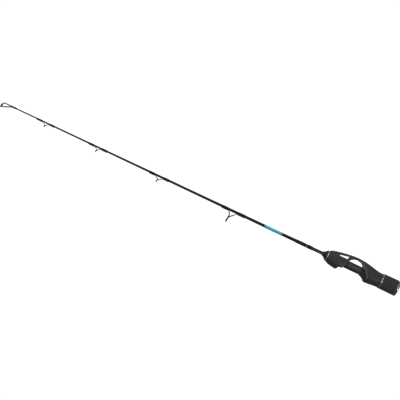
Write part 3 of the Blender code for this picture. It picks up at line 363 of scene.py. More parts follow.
def through(points, at):
    """A smooth curve through (station, value) points: cubic pieces whose slopes at the points are
    the central differences."""
    points = np.array(points, float)
    slopes = np.gradient(points[:, 1], points[:, 0])
    piece = np.clip(np.searchsorted(points[:, 0], at, side="right") - 1, 0, len(points) - 2)
    span = points[piece + 1, 0] - points[piece, 0]
    t = np.clip((at - points[piece, 0]) / span, 0, 1)
    start, end = points[piece, 1], points[piece + 1, 1]
    rise_start, rise_end = slopes[piece] * span, slopes[piece + 1] * span
    value = (2 * t**3 - 3 * t**2 + 1) * start + (t**3 - 2 * t**2 + t) * rise_start
    return value + (3 * t**2 - 2 * t**3) * end + (t**3 - t**2) * rise_end


NOSE_END_RADIUS = width_radius("nose_trim_ring") + 0.16
NOSE_HALF_WIDTH = 11.2
HOUSING_LIP_DEPTH = 14.5
NOSE_LIP_DEPTH = 14.85
CROWN = (
    (HOUSING_REAR, HOUSING_RADIUS - 0.5),
    (HOUSING_REAR + 0.3 * HOUSING_LENGTH, HOUSING_RADIUS),
    (HOUSING_REAR + 0.55 * HOUSING_LENGTH, 0.73 * ARCH_HEIGHT),
    (REAR_LIP, 0.874 * ARCH_HEIGHT),
    (ARCH_PEAK, ARCH_HEIGHT),
    (FRONT_LIP - 0.2 * WINDOW_LENGTH, 0.911 * ARCH_HEIGHT),
    (FRONT_LIP + 0.3 * NOSE_LENGTH, 0.756 * ARCH_HEIGHT),
    (FRONT_LIP + 0.8 * NOSE_LENGTH, 0.617 * ARCH_HEIGHT),
    (NOSE_END, NOSE_END_RADIUS),
)
KEEL = (
    (HOUSING_REAR, HOUSING_RADIUS),
    (HOUSING_REAR + 0.3 * HOUSING_LENGTH, 0.907 * HOUSING_LIP_DEPTH),
    (HOUSING_REAR + 0.8 * HOUSING_LENGTH, HOUSING_LIP_DEPTH),
    (REAR_LIP, HOUSING_LIP_DEPTH),
    (FRONT_LIP, NOSE_LIP_DEPTH),
    (FRONT_LIP + 0.5 * NOSE_LENGTH, 0.904 * NOSE_LIP_DEPTH),
    (FRONT_LIP + 0.8 * NOSE_LENGTH, 0.795 * NOSE_LIP_DEPTH),
    (NOSE_END, NOSE_END_RADIUS),
)
FLANK = (
    (HOUSING_REAR, HOUSING_RADIUS),
    (HOUSING_REAR + 0.55 * HOUSING_LENGTH, HOUSING_RADIUS + 0.4),
    (REAR_LIP, HOUSING_RADIUS),
    (SEAT_MIDDLE, 0.95 * NOSE_HALF_WIDTH),
    (FRONT_LIP, NOSE_HALF_WIDTH),
    (FRONT_LIP + 0.5 * NOSE_LENGTH, 0.97 * NOSE_HALF_WIDTH),
    (NOSE_END, NOSE_END_RADIUS),
)
SECTION_POWER = 2 / 0.92
STRUT_FRONT = FRONT_LIP - 15.4
BARREL_TOP = BARREL_RADIUS + 0.15
FINGER_HOLE_RISE = 7.55
BOSS_STATION = REAR_LIP + 5.6
BOSS_ACROSS, BOSS_RISE, BOSS_RADIUS = 8.2, 2, 0.95
HOOD_TRAVEL = 10
SPINDLE_SHOULDER = 39.9
SNAP_GROOVE = 36.8, 37.9
HOUSING_BORE_REAR, NOSE_BORE_REAR = 45, 125
FOOT_HALF_WIDTH = 6.9
OUT_OF_THE_WAY = -40


def window_outline():
    """Side outline of the reel window, as (along, up): the finger hole under the arch, the
    housing's slanting rim with its notch and lip, and the nose's slanting mouth."""
    peak, rear = ARCH_PEAK - 1, HOOD_FRONT - 0.9
    turn = np.linspace(0, math.pi, 33)
    reach = np.where(turn < math.pi / 2, STRUT_FRONT - peak, peak - rear)
    along = peak + np.sign(np.cos(turn)) * np.abs(np.cos(turn)) ** 1.15 * reach
    arch = np.stack([along, BARREL_TOP + FINGER_HOLE_RISE * np.sin(turn) ** 1.1], axis=-1)
    rim = softened([
        (arch[-1, 0], arch[-1, 1], 0), (REAR_LIP + 3.6, 4.4, 3), (REAR_LIP + 0.9, -0.5, 2),
        (REAR_LIP - 1, -3.6, 1), (REAR_LIP - 2.4, -5.2, 0.7), (REAR_LIP - 2, -7.4, 0.7),
        (REAR_LIP, -8.8, 0.7),
        (REAR_LIP, OUT_OF_THE_WAY, 0), (FRONT_LIP, OUT_OF_THE_WAY, 0),
        (FRONT_LIP, -NOSE_LIP_DEPTH + 0.6, 0.4), (FRONT_LIP - 3, -BARREL_RADIUS - 1.3, 1.2),
        (FRONT_LIP - 9, -BARREL_RADIUS - 1.3, 0.7), (FRONT_LIP - 8.4, -PAD_DROP, 0.5),
        (arch[0, 0], arch[0, 1], 0),
    ], 1)
    outline = np.vstack([arch, rim[1:-1]])
    return outline * [-1, 1]


def slot_outline():
    """Side outline of the narrow slot in the nose, which runs parallel to the crown above it."""
    front = FRONT_LIP + 3.8
    rear = front - 17.6
    top = np.linspace(front - 0.3, rear - 1.4, 8)
    ceiling = through(CROWN, top) - np.linspace(4.2, 3.3, 8)
    sill = BARREL_TOP + 1.55
    corners = [(rear, sill, 1.2), (front, sill, 0.9)]
    corners += [(s, z, 0.9 if i in (0, 7) else 0) for i, (s, z) in enumerate(zip(top, ceiling))]
    return softened(corners, 1) * [-1, 1]


def shell_distance(along, across, up):
    """The moulding: egg-shaped sections |y/a|^p + |z/b|^p = 1 whose half width a and half height b
    follow three curves, cut by the window, a groove along its rim, the slot, the bores, a channel for
    the hood's bosses and the pockets for the reel's foot.  The window's edge is rounder on the
    housing's side."""
    here, station = (along, across, up), -along
    flank = through(FLANK, station)
    half_height = np.where(up > 0, through(CROWN, station), through(KEEL, station))
    level = (np.abs(across / flank) ** SECTION_POWER + np.abs(up / half_height) ** SECTION_POWER)
    level = level ** (1 / SECTION_POWER)
    slopes = np.gradient(level, np.ravel(along), np.ravel(across), np.ravel(up), edge_order=2)
    steepness = np.sqrt(sum(slope**2 for slope in slopes))
    outer = (level - 1) / np.maximum(steepness, 0.3 / HOUSING_RADIUS)
    solid = keep_both(outer, between(along, HOUSING_REAR, NOSE_END), 0.5)
    solid = np.minimum(solid, cylinder(*here, 7.5, NOSE_END - 2, SHELL_FRONT))
    housing_side = np.clip((SEAT_MIDDLE - 4 - station) / 10, 0, 1)
    window = outline_distance(along, up, window_outline())
    solid = take_away(solid, window, 0.55 + 1.15 * housing_side)
    groove = np.maximum(np.abs(window - 2.7) - 0.5, -outer - 0.9)
    groove = np.maximum(groove, np.maximum(np.abs(up + 4.5) - 5, station - SEAT_MIDDLE + 4))
    channel = np.hypot(np.abs(across) - BOSS_ACROSS, up - BOSS_RISE) - BOSS_RADIUS - 0.35
    channel = np.maximum(channel, between(along, BOSS_STATION - HOOD_TRAVEL - 2, SEAT_MIDDLE))
    for cutter, edge in (
        (groove, 0.15), (outline_distance(along, up, slot_outline()), 0.6),
        (cylinder(*here, BARREL_TOP, REAR_LIP - 4, BARREL_FRONT + 0.3), 0.25),
        (cylinder(*here, BARREL_BORE, NOSE_BORE_REAR, SHELL_FRONT + 2), 0.2),
        (pocket(*here, 10.95, FOOT_HALF_WIDTH, 0, SEAT_MIDDLE, FRONT_LIP + 5), 0.4),
        (cylinder(*here, 9.95, HOUSING_REAR - 2, HOUSING_BORE_REAR + 1.75), 0.25),
        (cylinder(*here, 8.85, HOUSING_BORE_REAR, SEAT_MIDDLE), 0.25), (channel, 0.2),
        (pocket(*here, 11.55, 8.65, 0, HOUSING_BORE_REAR - 2.5, SEAT_MIDDLE), 0.35),
    ):
        solid = take_away(solid, cutter, edge)
    return solid


def make_shell():
    """The shell's skin, with a painted highlight kept at each point: most on the window's rim, where its
    chamfer catches the light.
    """
    low = (-SHELL_FRONT - 1, -13.6, -15.8)
    high = (-HOUSING_REAR + 1, 13.6, 20)
    piece = skin_of("moulded_seat_shell", shell_distance, low, high, 0.385, finish_shell())
    points = np.empty(3 * len(piece.data.vertices), np.float32)
    piece.data.vertices.foreach_get("co", points)
    along, across, up = ((points.reshape(-1, 3) - [BUTT_X, 0, AXIS_Z]) / MM).T
    away = np.abs(outline_distance(along, up, window_outline()))
    # painted highlight: a pale band along the window's rim and the nose's mouth, only on the lit sides above
    # the keel
    rim = np.clip((2.2 - away) / 0.5, 0, 1) * np.clip((SEAT_MIDDLE - 6 + along) / 3, 0, 1)
    mouth = np.clip((1.1 - away) / 0.5, 0, 1) * np.clip((-along - STRUT_FRONT + 1) / 2, 0, 1)
    shown = np.clip((9 + up) / 4, 0, 1) * (np.abs(across) > 5)
    note_on(piece, "painted_highlight", np.maximum(rim, mouth) * shown)
    return stand_for(piece, "seat_shell")


def make_hood():
    """Sliding hood: a sleeve with a cup below for the reel's foot, a ring behind, and a small round
    boss on each side."""
    ring_end = HOOD_REAR + 11
    back = REAR_LIP + 0.8 - 8
    behind, ahead = 30, 90
    ramp = np.array([
        (HOOD_FRONT + 2, -BARREL_RADIUS), (HOOD_FRONT - 0.4, -BARREL_RADIUS),
        (HOOD_FRONT - 3.6, -BARREL_RADIUS - 0.87), (REAR_LIP + 2.8, -BARREL_RADIUS - 2.4),
        (REAR_LIP + 0.8, OUT_OF_THE_WAY), (HOOD_FRONT + 2, OUT_OF_THE_WAY),
    ]) * [-1, 1]

    def distance(along, across, up):
        here = along, across, up
        solid = cylinder(*here, 8.6, HOOD_REAR + 1, HOOD_FRONT)
        solid = keep_both(solid, between(along, HOOD_REAR, HOOD_FRONT), 0.3)
        ring = keep_both(np.hypot(across, up) - 9.7, between(along, HOOD_REAR, ring_end), 0.4)
        cup = pocket(*here, 11.35, 8.4, -1, back - 1.5, HOOD_FRONT - 0.4)
        solid = add_to(np.minimum(solid, ring), cup, 0.3)
        beside, above = np.abs(across) - BOSS_ACROSS, up - BOSS_RISE
        reach = np.sqrt((along + BOSS_STATION) ** 2 + beside**2 + above**2)
        solid = add_to(solid, reach - BOSS_RADIUS, 0.2)
        for cutter, edge in (
            (outline_distance(along, up, ramp), 0.4),
            (cylinder(*here, BARREL_TOP, behind, ahead), 0.15),
            (cylinder(*here, 8.4, behind, SPINDLE_SHOULDER), 0.1),
            (cylinder(*here, 9.0, *SNAP_GROOVE), 0.05),
            (pocket(*here, 10.65, FOOT_HALF_WIDTH, -3, back, ahead), 0.3),
        ):
            solid = take_away(solid, cutter, edge)
        return solid

    low, high = (-HOOD_FRONT - 1, -10.4, -12), (-HOOD_REAR + 1, 10.4, 10.6)
    # darker colours than the shell's: painted shade, for the hood sitting in shadow inside the shell
    finish = finish_moulding("hood_nylon_painted_shade", 0.12, grey(0.004), grey(0.009))
    piece = skin_of("sliding_hood_skin", distance, low, high, 0.3, finish)
    return stand_for(piece, "sliding_hood")


def circle(station, radius, angle):
    """Points of a circle round the rod's centre line."""
    return np.stack([np.full(angle.size, -station), radius * np.cos(angle), radius * np.sin(angle)], -1)


def make_barrel():
    """Reel seat barrel.  Its outside is r(s, a): a round thread r0 + h cos(a - 2 pi x / lead) on the
    spindle, then a plain tube with a row of slanting ribs on each side, cut flat below."""
    rear, front = stations("seat_barrel")
    thread = np.arange(rear + 0.4, KNOB_END + 1.25, THREAD_LEAD / 14)
    plain = np.arange(SPINDLE_SHOULDER, front - 0.3, 0.3)
    flats = np.array([53.3, HOOD_FRONT + 1.2, FRONT_LIP - 10.2, FRONT_LIP + 5])
    plain = np.sort(np.concatenate([plain, flats - 0.02, flats + 0.02]))
    station = np.concatenate([[rear], thread, [SPINDLE_SHOULDER], plain, [front - 0.3, front]])
    angle = np.linspace(0, TAU, 144, endpoint=False)
    s, a = station[:, None], angle[None]
    fade = np.clip(np.minimum(s - thread[0], thread[-1] - s) / (0.5 * THREAD_LEAD), 0, 1)
    turn = np.cos(a - TAU * (SEAT_MIDDLE - s) / THREAD_LEAD)
    spindle = 5.85 + 0.45 * (turn * fade - (1 - fade))
    is_spindle = np.arange(len(station)) < len(thread) + 2
    ribs = np.where(is_spindle[:, None], 0, rib_height(s, a, BARREL_RADIUS))
    radius = np.where(is_spindle[:, None], spindle, BARREL_RADIUS) + ribs
    radius[-1] -= 0.3
    across, up = radius * np.cos(a), radius * np.sin(a)
    floor = np.where((s > flats[1]) & (s < flats[2]), -PAD_DROP, -PAD_DROP + 0.2)
    floor = np.where((s > flats[0]) & (s < flats[3]), floor, OUT_OF_THE_WAY)
    up = np.maximum(up, floor)
    outside = np.stack([np.broadcast_to(-s, across.shape), across, up], axis=-1)
    bore = [circle(end, BARREL_BORE, angle) for end in (front, rear)]
    piece = grid_piece("ribbed_seat_barrel", np.concatenate([outside, bore]), finish_barrel(), True, 35)
    # painted highlight on the rib crests, in proportion to each rib's height
    note_on(piece, "painted_highlight", np.concatenate([ribs / RIB_HEIGHT, np.zeros((2, angle.size))]))
    return stand_for(piece, "seat_barrel")


RIB_COUNT = 8
RIB_HEIGHT = 0.5


def rib_height(s, a, radius):
    """Height of the slanting ribs on the barrel's sides: each is a smooth bump across its own
    slanted line, faded out above and below."""
    up = radius * np.sin(a)
    first, last = HOOD_FRONT + 3.8, STRUT_FRONT - 3
    pitch = (last - first) / (RIB_COUNT - 1)
    leaning = s + 0.35 * (up - 2)
    nearest = np.clip(np.round((leaning - first) / pitch), 0, RIB_COUNT - 1)
    away = np.abs(leaning - first - nearest * pitch)
    bump = np.clip(1.3 - away / 0.62, 0, 1)
    ends = np.clip((3.2 - np.abs(up - 2)) / 0.6, 0, 1)
    return RIB_HEIGHT * (bump * ends) ** 2 * (3 - 2 * bump * ends)


# ---------------------------------------------------------------- grip and handle trim

def make_grip():
    """Foam sleeve, two metal rings and the butt cap: outlines turned about the rod."""
    front_ring, rear_ring = stations("front_ring"), stations("rear_ring")
    front_radius, rear_radius = width_radius("front_ring"), width_radius("rear_ring")
    hole = 9.48
    foam_front, foam_rear = front_ring[0] - 0.05, rear_ring[1] + 0.05
    middle = 0.5 * (foam_front + foam_rear)
    foam = softened([
        (foam_rear, hole, 0), (foam_rear, rear_radius - 0.25, 0.6), (middle, front_radius - 0.1, 6),
        (foam_front, front_radius - 0.25, 0.6), (foam_front, hole, 0),
    ], 0.5, 6)
    stand_for(turned("foam_grip", sliced(foam, 1.2), finish_foam(), 128), "eva_grip")
    for name, (start, end), radius, inner, node in (
        ("front_grip_ring", front_ring, front_radius, hole, "front_ring"),
        ("rear_grip_ring", rear_ring, rear_radius, 10.28, "rear_ring"),
    ):
        outline = softened([
            (start, inner, 0.1), (start, radius - 0.75, 0.15), (start + 0.75, radius - 0.5, 0.1),
            (start + 0.8, radius - 0.15, 0.1), (start + 1.1, radius, 0.2), (end - 1.1, radius, 0.2),
            (end - 0.8, radius - 0.15, 0.1), (end - 0.75, radius - 0.5, 0.1), (end, radius - 0.75, 0.15),
            (end, inner, 0.1),
        ], 0.2, 3)
        stand_for(turned(name, outline, finish_copper(), 144), node)
    rim = width_radius("butt_cap")
    cap = softened([
        (0.25, 0, 0), (0.25, 5.2, 0.1), (0.55, 5.5, 0.15), (0.55, 6.3, 0.15), (0.25, 6.6, 0.15),
        (0.0, rim - 1.4, 0.4), (0.15, rim - 0.4, 0.3), (0.8, rim, 0.4), (4.3, rim, 0.1), (4.3, 7.65, 0.1),
        (8.3, 7.65, 0.2), (8.3, 0, 0),
    ], 0.2, 4)
    stand_for(turned("butt_cap_skin", cap, finish_rubber(), 112), "butt_cap")


def make_nose_trim():
    """Bright ring on the nose and the black winding check in front of it, both turned."""
    start, end = stations("nose_trim_ring")
    rim = width_radius("nose_trim_ring")
    outline = softened([
        (start, TRIM_HOLE, 0.1), (start, rim - 0.15, 0.12), (start + 0.2, rim, 0.15),
        (start + 1.15, rim, 0.25), (start + 1.45, rim - 0.45, 0.15), (end - 0.1, TRIM_TIP + 0.1, 0.3),
        (end, TRIM_TIP - 0.3, 0.15), (end, TRIM_HOLE, 0.1),
    ], 0.2, 4)
    trim = turned("nose_trim_skin", outline, finish_silver_trim(start + 1.4), 144)
    stand_for(trim, "nose_trim_ring")
    start, end = stations("winding_check")
    flange = width_radius("winding_check")
    bore = BLANK_RADII[0] + 0.08
    outline = softened([
        (start, bore, 0), (start, flange - 0.2, 0.2), (start + 0.3, flange, 0.3), (start + 1.5, flange, 0.4),
        (start + 2, flange - 1.9, 0.3), (start + 4.2, flange - 2.2, 0.6), (end, bore + 0.5, 0.3),
        (end, bore, 0),
    ], 0.3, 5)
    stand_for(turned("winding_check_skin", outline, finish_check(), 96), "winding_check")


TRIM_HOLE = 7.58
TRIM_TIP = 8.3


# ---------------------------------------------------------------- blank, bands and wraps

def make_blank():
    """Tapered tube: radius r(s) outside and 0.55 r(s) inside."""
    start, end = stations("blank")
    station = np.linspace(start, end, 340)
    outside = np.stack([station, blank_radius(station)], axis=-1)
    outside[-1, 1] -= 0.05
    inside = np.stack([station[[-1, 0]], 0.55 * blank_radius(station[[-1, 0]])], axis=-1)
    stand_for(turned("carbon_blank", np.vstack([outside, inside]), finish_blank(), 48), "blank")


def coated(name, start, end, layer, ramp, finish, swell=0.0):
    """A sleeve on the blank that thins out at each end: r = blank + layer * h(s), where h climbs
    smoothly over the ramp; below, it swells over a guide's foot by swell * h(s) * w(angle)."""
    rise = np.linspace(0, 1, 9)
    height = np.sin(0.5 * math.pi * rise) ** 0.8
    body = np.linspace(start + ramp, end - ramp, max(3, int((end - start) / 1.2)))[1:-1]
    station = np.concatenate([start + ramp * rise, body, end - ramp * rise[::-1]])
    depth = np.concatenate([height, np.ones(body.size), height[::-1]])
    angle = np.linspace(0, TAU, 56, endpoint=False)
    away = np.abs((angle - 1.5 * math.pi + math.pi) % TAU - math.pi)
    under = 0.5 + 0.5 * np.cos(np.clip((away - math.radians(30)) / math.radians(75), 0, 1) * math.pi)
    close = blank_radius(station)[:, None] + 0.02
    radius = close + (0.04 + depth[:, None] * (layer - 0.04)) + swell * depth[:, None] ** 0.7 * under[None]
    rows = np.stack([
        np.broadcast_to(-station[:, None], radius.shape), radius * np.cos(angle), radius * np.sin(angle),
    ], axis=-1)
    inner = [circle(station[i], close[i], angle) for i in (-1, 0)]
    return grid_piece(name, np.concatenate([rows, inner]), finish, True, 50)


def make_bands():
    """The wraps, the blue band and the fine silver turns beside them."""
    thread, silver, blue = finish_thread(), finish_trim_thread(), finish_blue()
    for name, node, layer, ramp, finish, slot in (
        ("end_wrap_coat", "end_wrap", 0.45, 0.9, thread, "thread"),
        ("end_trim_turns", "end_trim", 0.34, 0.25, silver, "silver"),
        ("butt_wrap_coat", "butt_wrap", 0.27, 1.2, thread, "thread"),
        ("blue_band_coat", "blue_band", 0.23, 0.3, blue, "blue"),
        ("band_rear_trim_turns", "band_rear_trim", 0.27, 0.3, silver, "silver"),
        ("band_front_trim_turns", "band_front_trim", 0.27, 0.3, silver, "silver"),
    ):
        start, end = stations(node)
        stand_for(coated(name, start, end, layer, ramp, finish), node)


# ---------------------------------------------------------------- guides

ACROSS = np.array([0.0, 1.0, 0.0])
RING_WALL = 0.7


def lean(tilt):
    """Unit vectors of a leaning ring, as (along, across, up): its axis, pointing to the tip, and
    the way up in its plane."""
    return np.array([-math.cos(tilt), 0, -math.sin(tilt)]), np.array([-math.sin(tilt), 0, math.cos(tilt)])


def about_ring(along, across, up, middle, tilt):
    """Each point's depth along a leaning ring's axis, and its distance from that axis."""
    forward, _ = lean(tilt)
    x, z = along - middle[0], up - middle[2]
    depth = x * forward[0] + z * forward[2]
    return depth, np.sqrt(np.maximum(x**2 + across**2 + z**2 - depth**2, 0))


def ring_distance(along, across, up, middle, tilt, radius, wall, width, edge):
    """Distance to a ring of rectangular section with round edges, about a leaning axis."""
    depth, reach = about_ring(along, across, up, middle, tilt)
    side = np.abs(depth) - (width / 2 - edge)
    thick = np.abs(reach - (radius - wall / 2)) - (wall / 2 - edge)
    out = np.sqrt(np.maximum(side, 0) ** 2 + np.maximum(thick, 0) ** 2)
    return out + np.minimum(np.maximum(side, thick), 0) - edge


def strip_distance(along, across, up, path, widths, thicks):
    """Distance to a bar along a path of short straight pieces: an oval section whose width lies
    across the rod, with width and thickness running evenly between the path's points."""
    path = [np.asarray(point, float) for point in path]
    result = None
    for i, (start, stop) in enumerate(zip(path, path[1:])):
        way = stop - start
        x, y, z = along - start[0], across - start[1], up - start[2]
        t = np.clip((x * way[0] + y * way[1] + z * way[2]) / (way @ way), 0, 1)
        x, y, z = x - t * way[0], y - t * way[1], z - t * way[2]
        half_width = 0.5 * (widths[i] + t * (widths[i + 1] - widths[i]))
        half_thick = 0.5 * (thicks[i] + t * (thicks[i + 1] - thicks[i]))
        oval = np.sqrt((y / half_width) ** 2 + (x**2 + z**2) / half_thick**2)
        piece = (oval - 1) * np.minimum(half_width, half_thick)
        result = piece if result is None else add_to(result, piece, 0.1)
    return result


def curve(points, count=14):
    """A smooth path through a few points (Catmull-Rom), as count points."""
    points = np.asarray(points, float)
    ends = np.vstack([2 * points[0] - points[1], points, 2 * points[-1] - points[-2]])
    at = np.linspace(0, len(points) - 1 - 1e-9, count)
    piece, t = at.astype(int), (at % 1)[:, None]
    a, b, c, d = (ends[piece + i] for i in range(4))
    return 0.5 * (2 * b + (c - a) * t + (2 * a - 5 * b + 4 * c - d) * t**2 + (3 * b - a - 3 * c + d) * t**3)


def along_curve(values, count=14):
    """Values given at a path's points, read evenly between them."""
    return np.interp(np.linspace(0, len(values) - 1, count), np.arange(len(values)), values)


def leaning_ring(name, node, middle, tilt, outline, finish):
    """Turns a closed outline of (depth, radius) about a leaning axis."""
    forward, upward = lean(tilt)
    outline = np.asarray(outline)
    angle = np.linspace(0, TAU, 72, endpoint=False)
    round_it = np.cos(angle)[:, None] * ACROSS + np.sin(angle)[:, None] * upward
    grid = middle + outline[:, None, :1] * forward + outline[:, None, 1:] * round_it[None]
    return stand_for(grid_piece(name, grid, finish, True, 50), node)


def make_insert(prefix, middle, tilt, radius, width):
    """Polished ceramic ring: its bore swells inwards in a round bead so that line runs smoothly."""
    fit = radius - RING_WALL - 0.04
    hole = fit - 0.75 * min(1.0, radius / 3.9) - 0.02
    half = 0.5 * width
    turn = np.linspace(0, math.pi, 13)
    bead_middle, bead = 0.5 * (fit + hole), 0.5 * (fit - hole)
    bulge = np.stack([
        (half + 0.13) * np.cos(turn), bead_middle - 0.2 * bead - (bead * 0.8) * np.sin(turn) ** 0.8,
    ], axis=-1)
    outline = np.vstack([[(-half, fit), (half, fit)], bulge])
    leaning_ring(f"{prefix}_ceramic", f"{prefix}_insert", middle, tilt, outline, finish_ceramic())


GUIDE_TILT = math.radians(-6)
GUIDE_SIZES = {
    "guide_1": (1.6, 1.9), "guide_2": (1.1, 1.4), "guide_3": (0.95, 1.2), "guide_4": (0.9, 1.1),
}
FOOT_THICKNESS = 0.45


def foot_height(station):
    """Height of a guide's foot under the blank."""
    return -(blank_radius(station) + 0.08 + FOOT_THICKNESS / 2)


def make_guide(prefix):
    """A two-footed guide: one leg from the top of its ring forwards, a pair from its sides back."""
    wire, foot = GUIDE_SIZES[prefix]
    station, height, half_width = ring_place(f"{prefix}_insert")
    radius = half_width + RING_WALL + 0.08
    middle = np.array([-station, 0, height])
    front_wrap, rear_wrap = stations(f"{prefix}_front_wrap"), stations(f"{prefix}_rear_wrap")
    front_base, rear_base = front_wrap[0] - 0.8, rear_wrap[1] + 0.8
    front_tip = front_base + 0.8 * (front_wrap[1] - front_wrap[0])
    rear_tip = rear_base - 0.8 * (rear_wrap[1] - rear_wrap[0])
    _, upward = lean(GUIDE_TILT)
    reach = radius - 0.5 * RING_WALL
    top = middle + reach * upward
    ahead = front_base - station
    heel = front_base - 0.22 * ahead
    knee = 0.32 if radius > 5 else 0.45
    front_path = curve([
        (-front_tip, 0, foot_height(front_tip)), (-front_base - 0.6, 0, foot_height(front_base)),
        (-heel, 0, foot_height(front_base) - 0.35),
        (-station - knee * ahead, 0, 0.7 * foot_height(front_base) + 0.3 * top[2]), top,
    ])
    front_widths = along_curve([0.6 * foot, foot, foot, 1.1 * wire, wire])
    front_thicks = along_curve([0.25, FOOT_THICKNESS, 0.6, 0.85 * wire, 0.85 * wire])
    bars = [(front_path, front_widths, front_thicks)]
    rear_widths = along_curve([0.6 * foot, foot, 0.8 * foot, 0.9 * wire, wire])
    rear_thicks = along_curve([0.25, FOOT_THICKNESS, 0.6, 0.85 * wire, 0.85 * wire])
    for side in (-1, 1):
        turn = math.radians(28)
        joint = middle + reach * (math.sin(turn) * upward + side * math.cos(turn) * ACROSS)
        bend = np.array([-(rear_base + 1), side * 0.28 * foot, foot_height(rear_base) - 0.4])
        leg = curve([
            (-rear_tip, 0, foot_height(rear_tip)), (-rear_base + 0.6, 0, foot_height(rear_base)), bend,
            0.5 * (bend + joint) + 0.12 * side * radius * ACROSS, joint,
        ])
        bars.append((leg, rear_widths, rear_thicks))

    def distance(along, across, up):
        solid = ring_distance(along, across, up, middle, GUIDE_TILT, radius, RING_WALL, wire, 0.12)
        for path, widths, thicks in bars:
            solid = add_to(solid, strip_distance(along, across, up, path, widths, thicks), 0.3)
        depth, reach = about_ring(along, across, up, middle, GUIDE_TILT)
        room = np.maximum(reach - radius + RING_WALL, np.abs(depth) - 0.5 * wire - 0.4)
        return take_away(solid, room, 0.06)

    low = (-front_tip - 1, -radius - 1, height - radius - 1)
    high = (-rear_tip + 1, radius + 1, 0)
    pitch = 0.2 if radius > 5 else 0.14
    piece = skin_of(f"{prefix}_wire", distance, low, high, pitch, finish_guide())
    stand_for(piece, f"{prefix}_frame")
    make_insert(prefix, middle, GUIDE_TILT, radius, wire)
    for end, (start, stop) in (("front", front_wrap), ("rear", rear_wrap)):
        wrap = coated(f"{prefix}_{end}_thread", start, stop, 0.3, 1.6, finish_wrap(), 0.55)
        stand_for(wrap, f"{prefix}_{end}_wrap")


TIP_TILT = math.radians(-14)
TIP_REACH = 16.5
TIP_RING_WIDTH = 1.3


def make_tip_top():
    """Tip-top: a thimble on the blank's end, one strut above and a pair below that hold the ring."""
    station, height, half_width = ring_place("tip_top_insert")
    radius = half_width + RING_WALL + 0.08
    middle = np.array([-station, 0, height])
    tube_start, tube_end = stations("tip_top_frame")[0], station - TIP_REACH
    outer = blank_radius(tube_start) + 0.43
    _, upward = lean(TIP_TILT)
    reach = radius - 0.5 * RING_WALL
    top = middle + reach * upward
    root = np.array([-tube_end + 0.5, 0, 0.0])
    shoulder = np.array([-station + 3.4, 0, 0.3])
    struts = [curve([
        root, 0.5 * (root + shoulder) + [0, 0, 0.1], shoulder, 0.35 * shoulder + 0.65 * top + [0, 0, 0.3],
        top,
    ], 12)]
    for side in (-1, 1):
        turn = math.radians(-62)
        foot = middle + reach * (math.sin(turn) * upward + side * math.cos(turn) * ACROSS)
        start = np.array([-tube_end + 0.4, side * 0.35 * outer, -0.4 * outer])
        struts.append(curve([start, start + 0.35 * (foot - start) + [0, 0, -0.45], foot], 12))
    thick = np.linspace(1.5, 1.1, 12)

    def distance(along, across, up):
        solid = ring_distance(along, across, up, middle, TIP_TILT, radius, RING_WALL, TIP_RING_WIDTH, 0.2)
        for path in struts:
            solid = add_to(solid, strip_distance(along, across, up, path, thick, thick), 0.35)
        thimble = cylinder(along, across, up, outer, tube_start, tube_end + 0.8)
        thimble = keep_both(thimble, between(along, tube_start - 5, tube_end + 0.8), 0.4)
        solid = add_to(solid, thimble, 0.3)
        bore = cylinder(along, across, up, outer - 0.35, tube_start - 3, tube_end - 0.8)
        solid = take_away(solid, bore, 0.1)
        depth, away = about_ring(along, across, up, middle, TIP_TILT)
        room = np.maximum(away - radius + RING_WALL, np.abs(depth) - 0.5 * TIP_RING_WIDTH - 0.6)
        return take_away(solid, room, 0.06)

    tip = stations("tip_top_frame")[1]
    low = (-tip - 0.6, -radius - 1, height - radius - 1)
    high = (-tube_start + 0.6, radius + 1, outer + 1)
    piece = skin_of("tip_top_wire", distance, low, high, 0.15, finish_guide())
    stand_for(piece, "tip_top_frame")
    make_insert("tip_top", middle, TIP_TILT, radius, TIP_RING_WIDTH)


# ---------------------------------------------------------------- finishes

def grey(level):
    """A neutral colour."""
    return level, level, level


class Signal:
    """One output of a shader node.  Arithmetic on it adds Math nodes."""

    def __init__(self, finish, socket):
        self.finish, self.socket = finish, socket

    def math(self, operation, *others):
        inputs = {0: self, **{i + 1: other for i, other in enumerate(others)}}
        return self.finish.signal("ShaderNodeMath", {"operation": operation}, inputs)

    def __add__(self, other):
        return self.math("ADD", other)

    def __mul__(self, other):
        return self.math("MULTIPLY", other)

    def __sub__(self, other):
        return self.math("SUBTRACT", other)

    def __rsub__(self, other):
        return self.finish.signal("ShaderNodeMath", {"operation": "SUBTRACT"}, {0: other, 1: self})

    __radd__ = __add__
    __rmul__ = __mul__


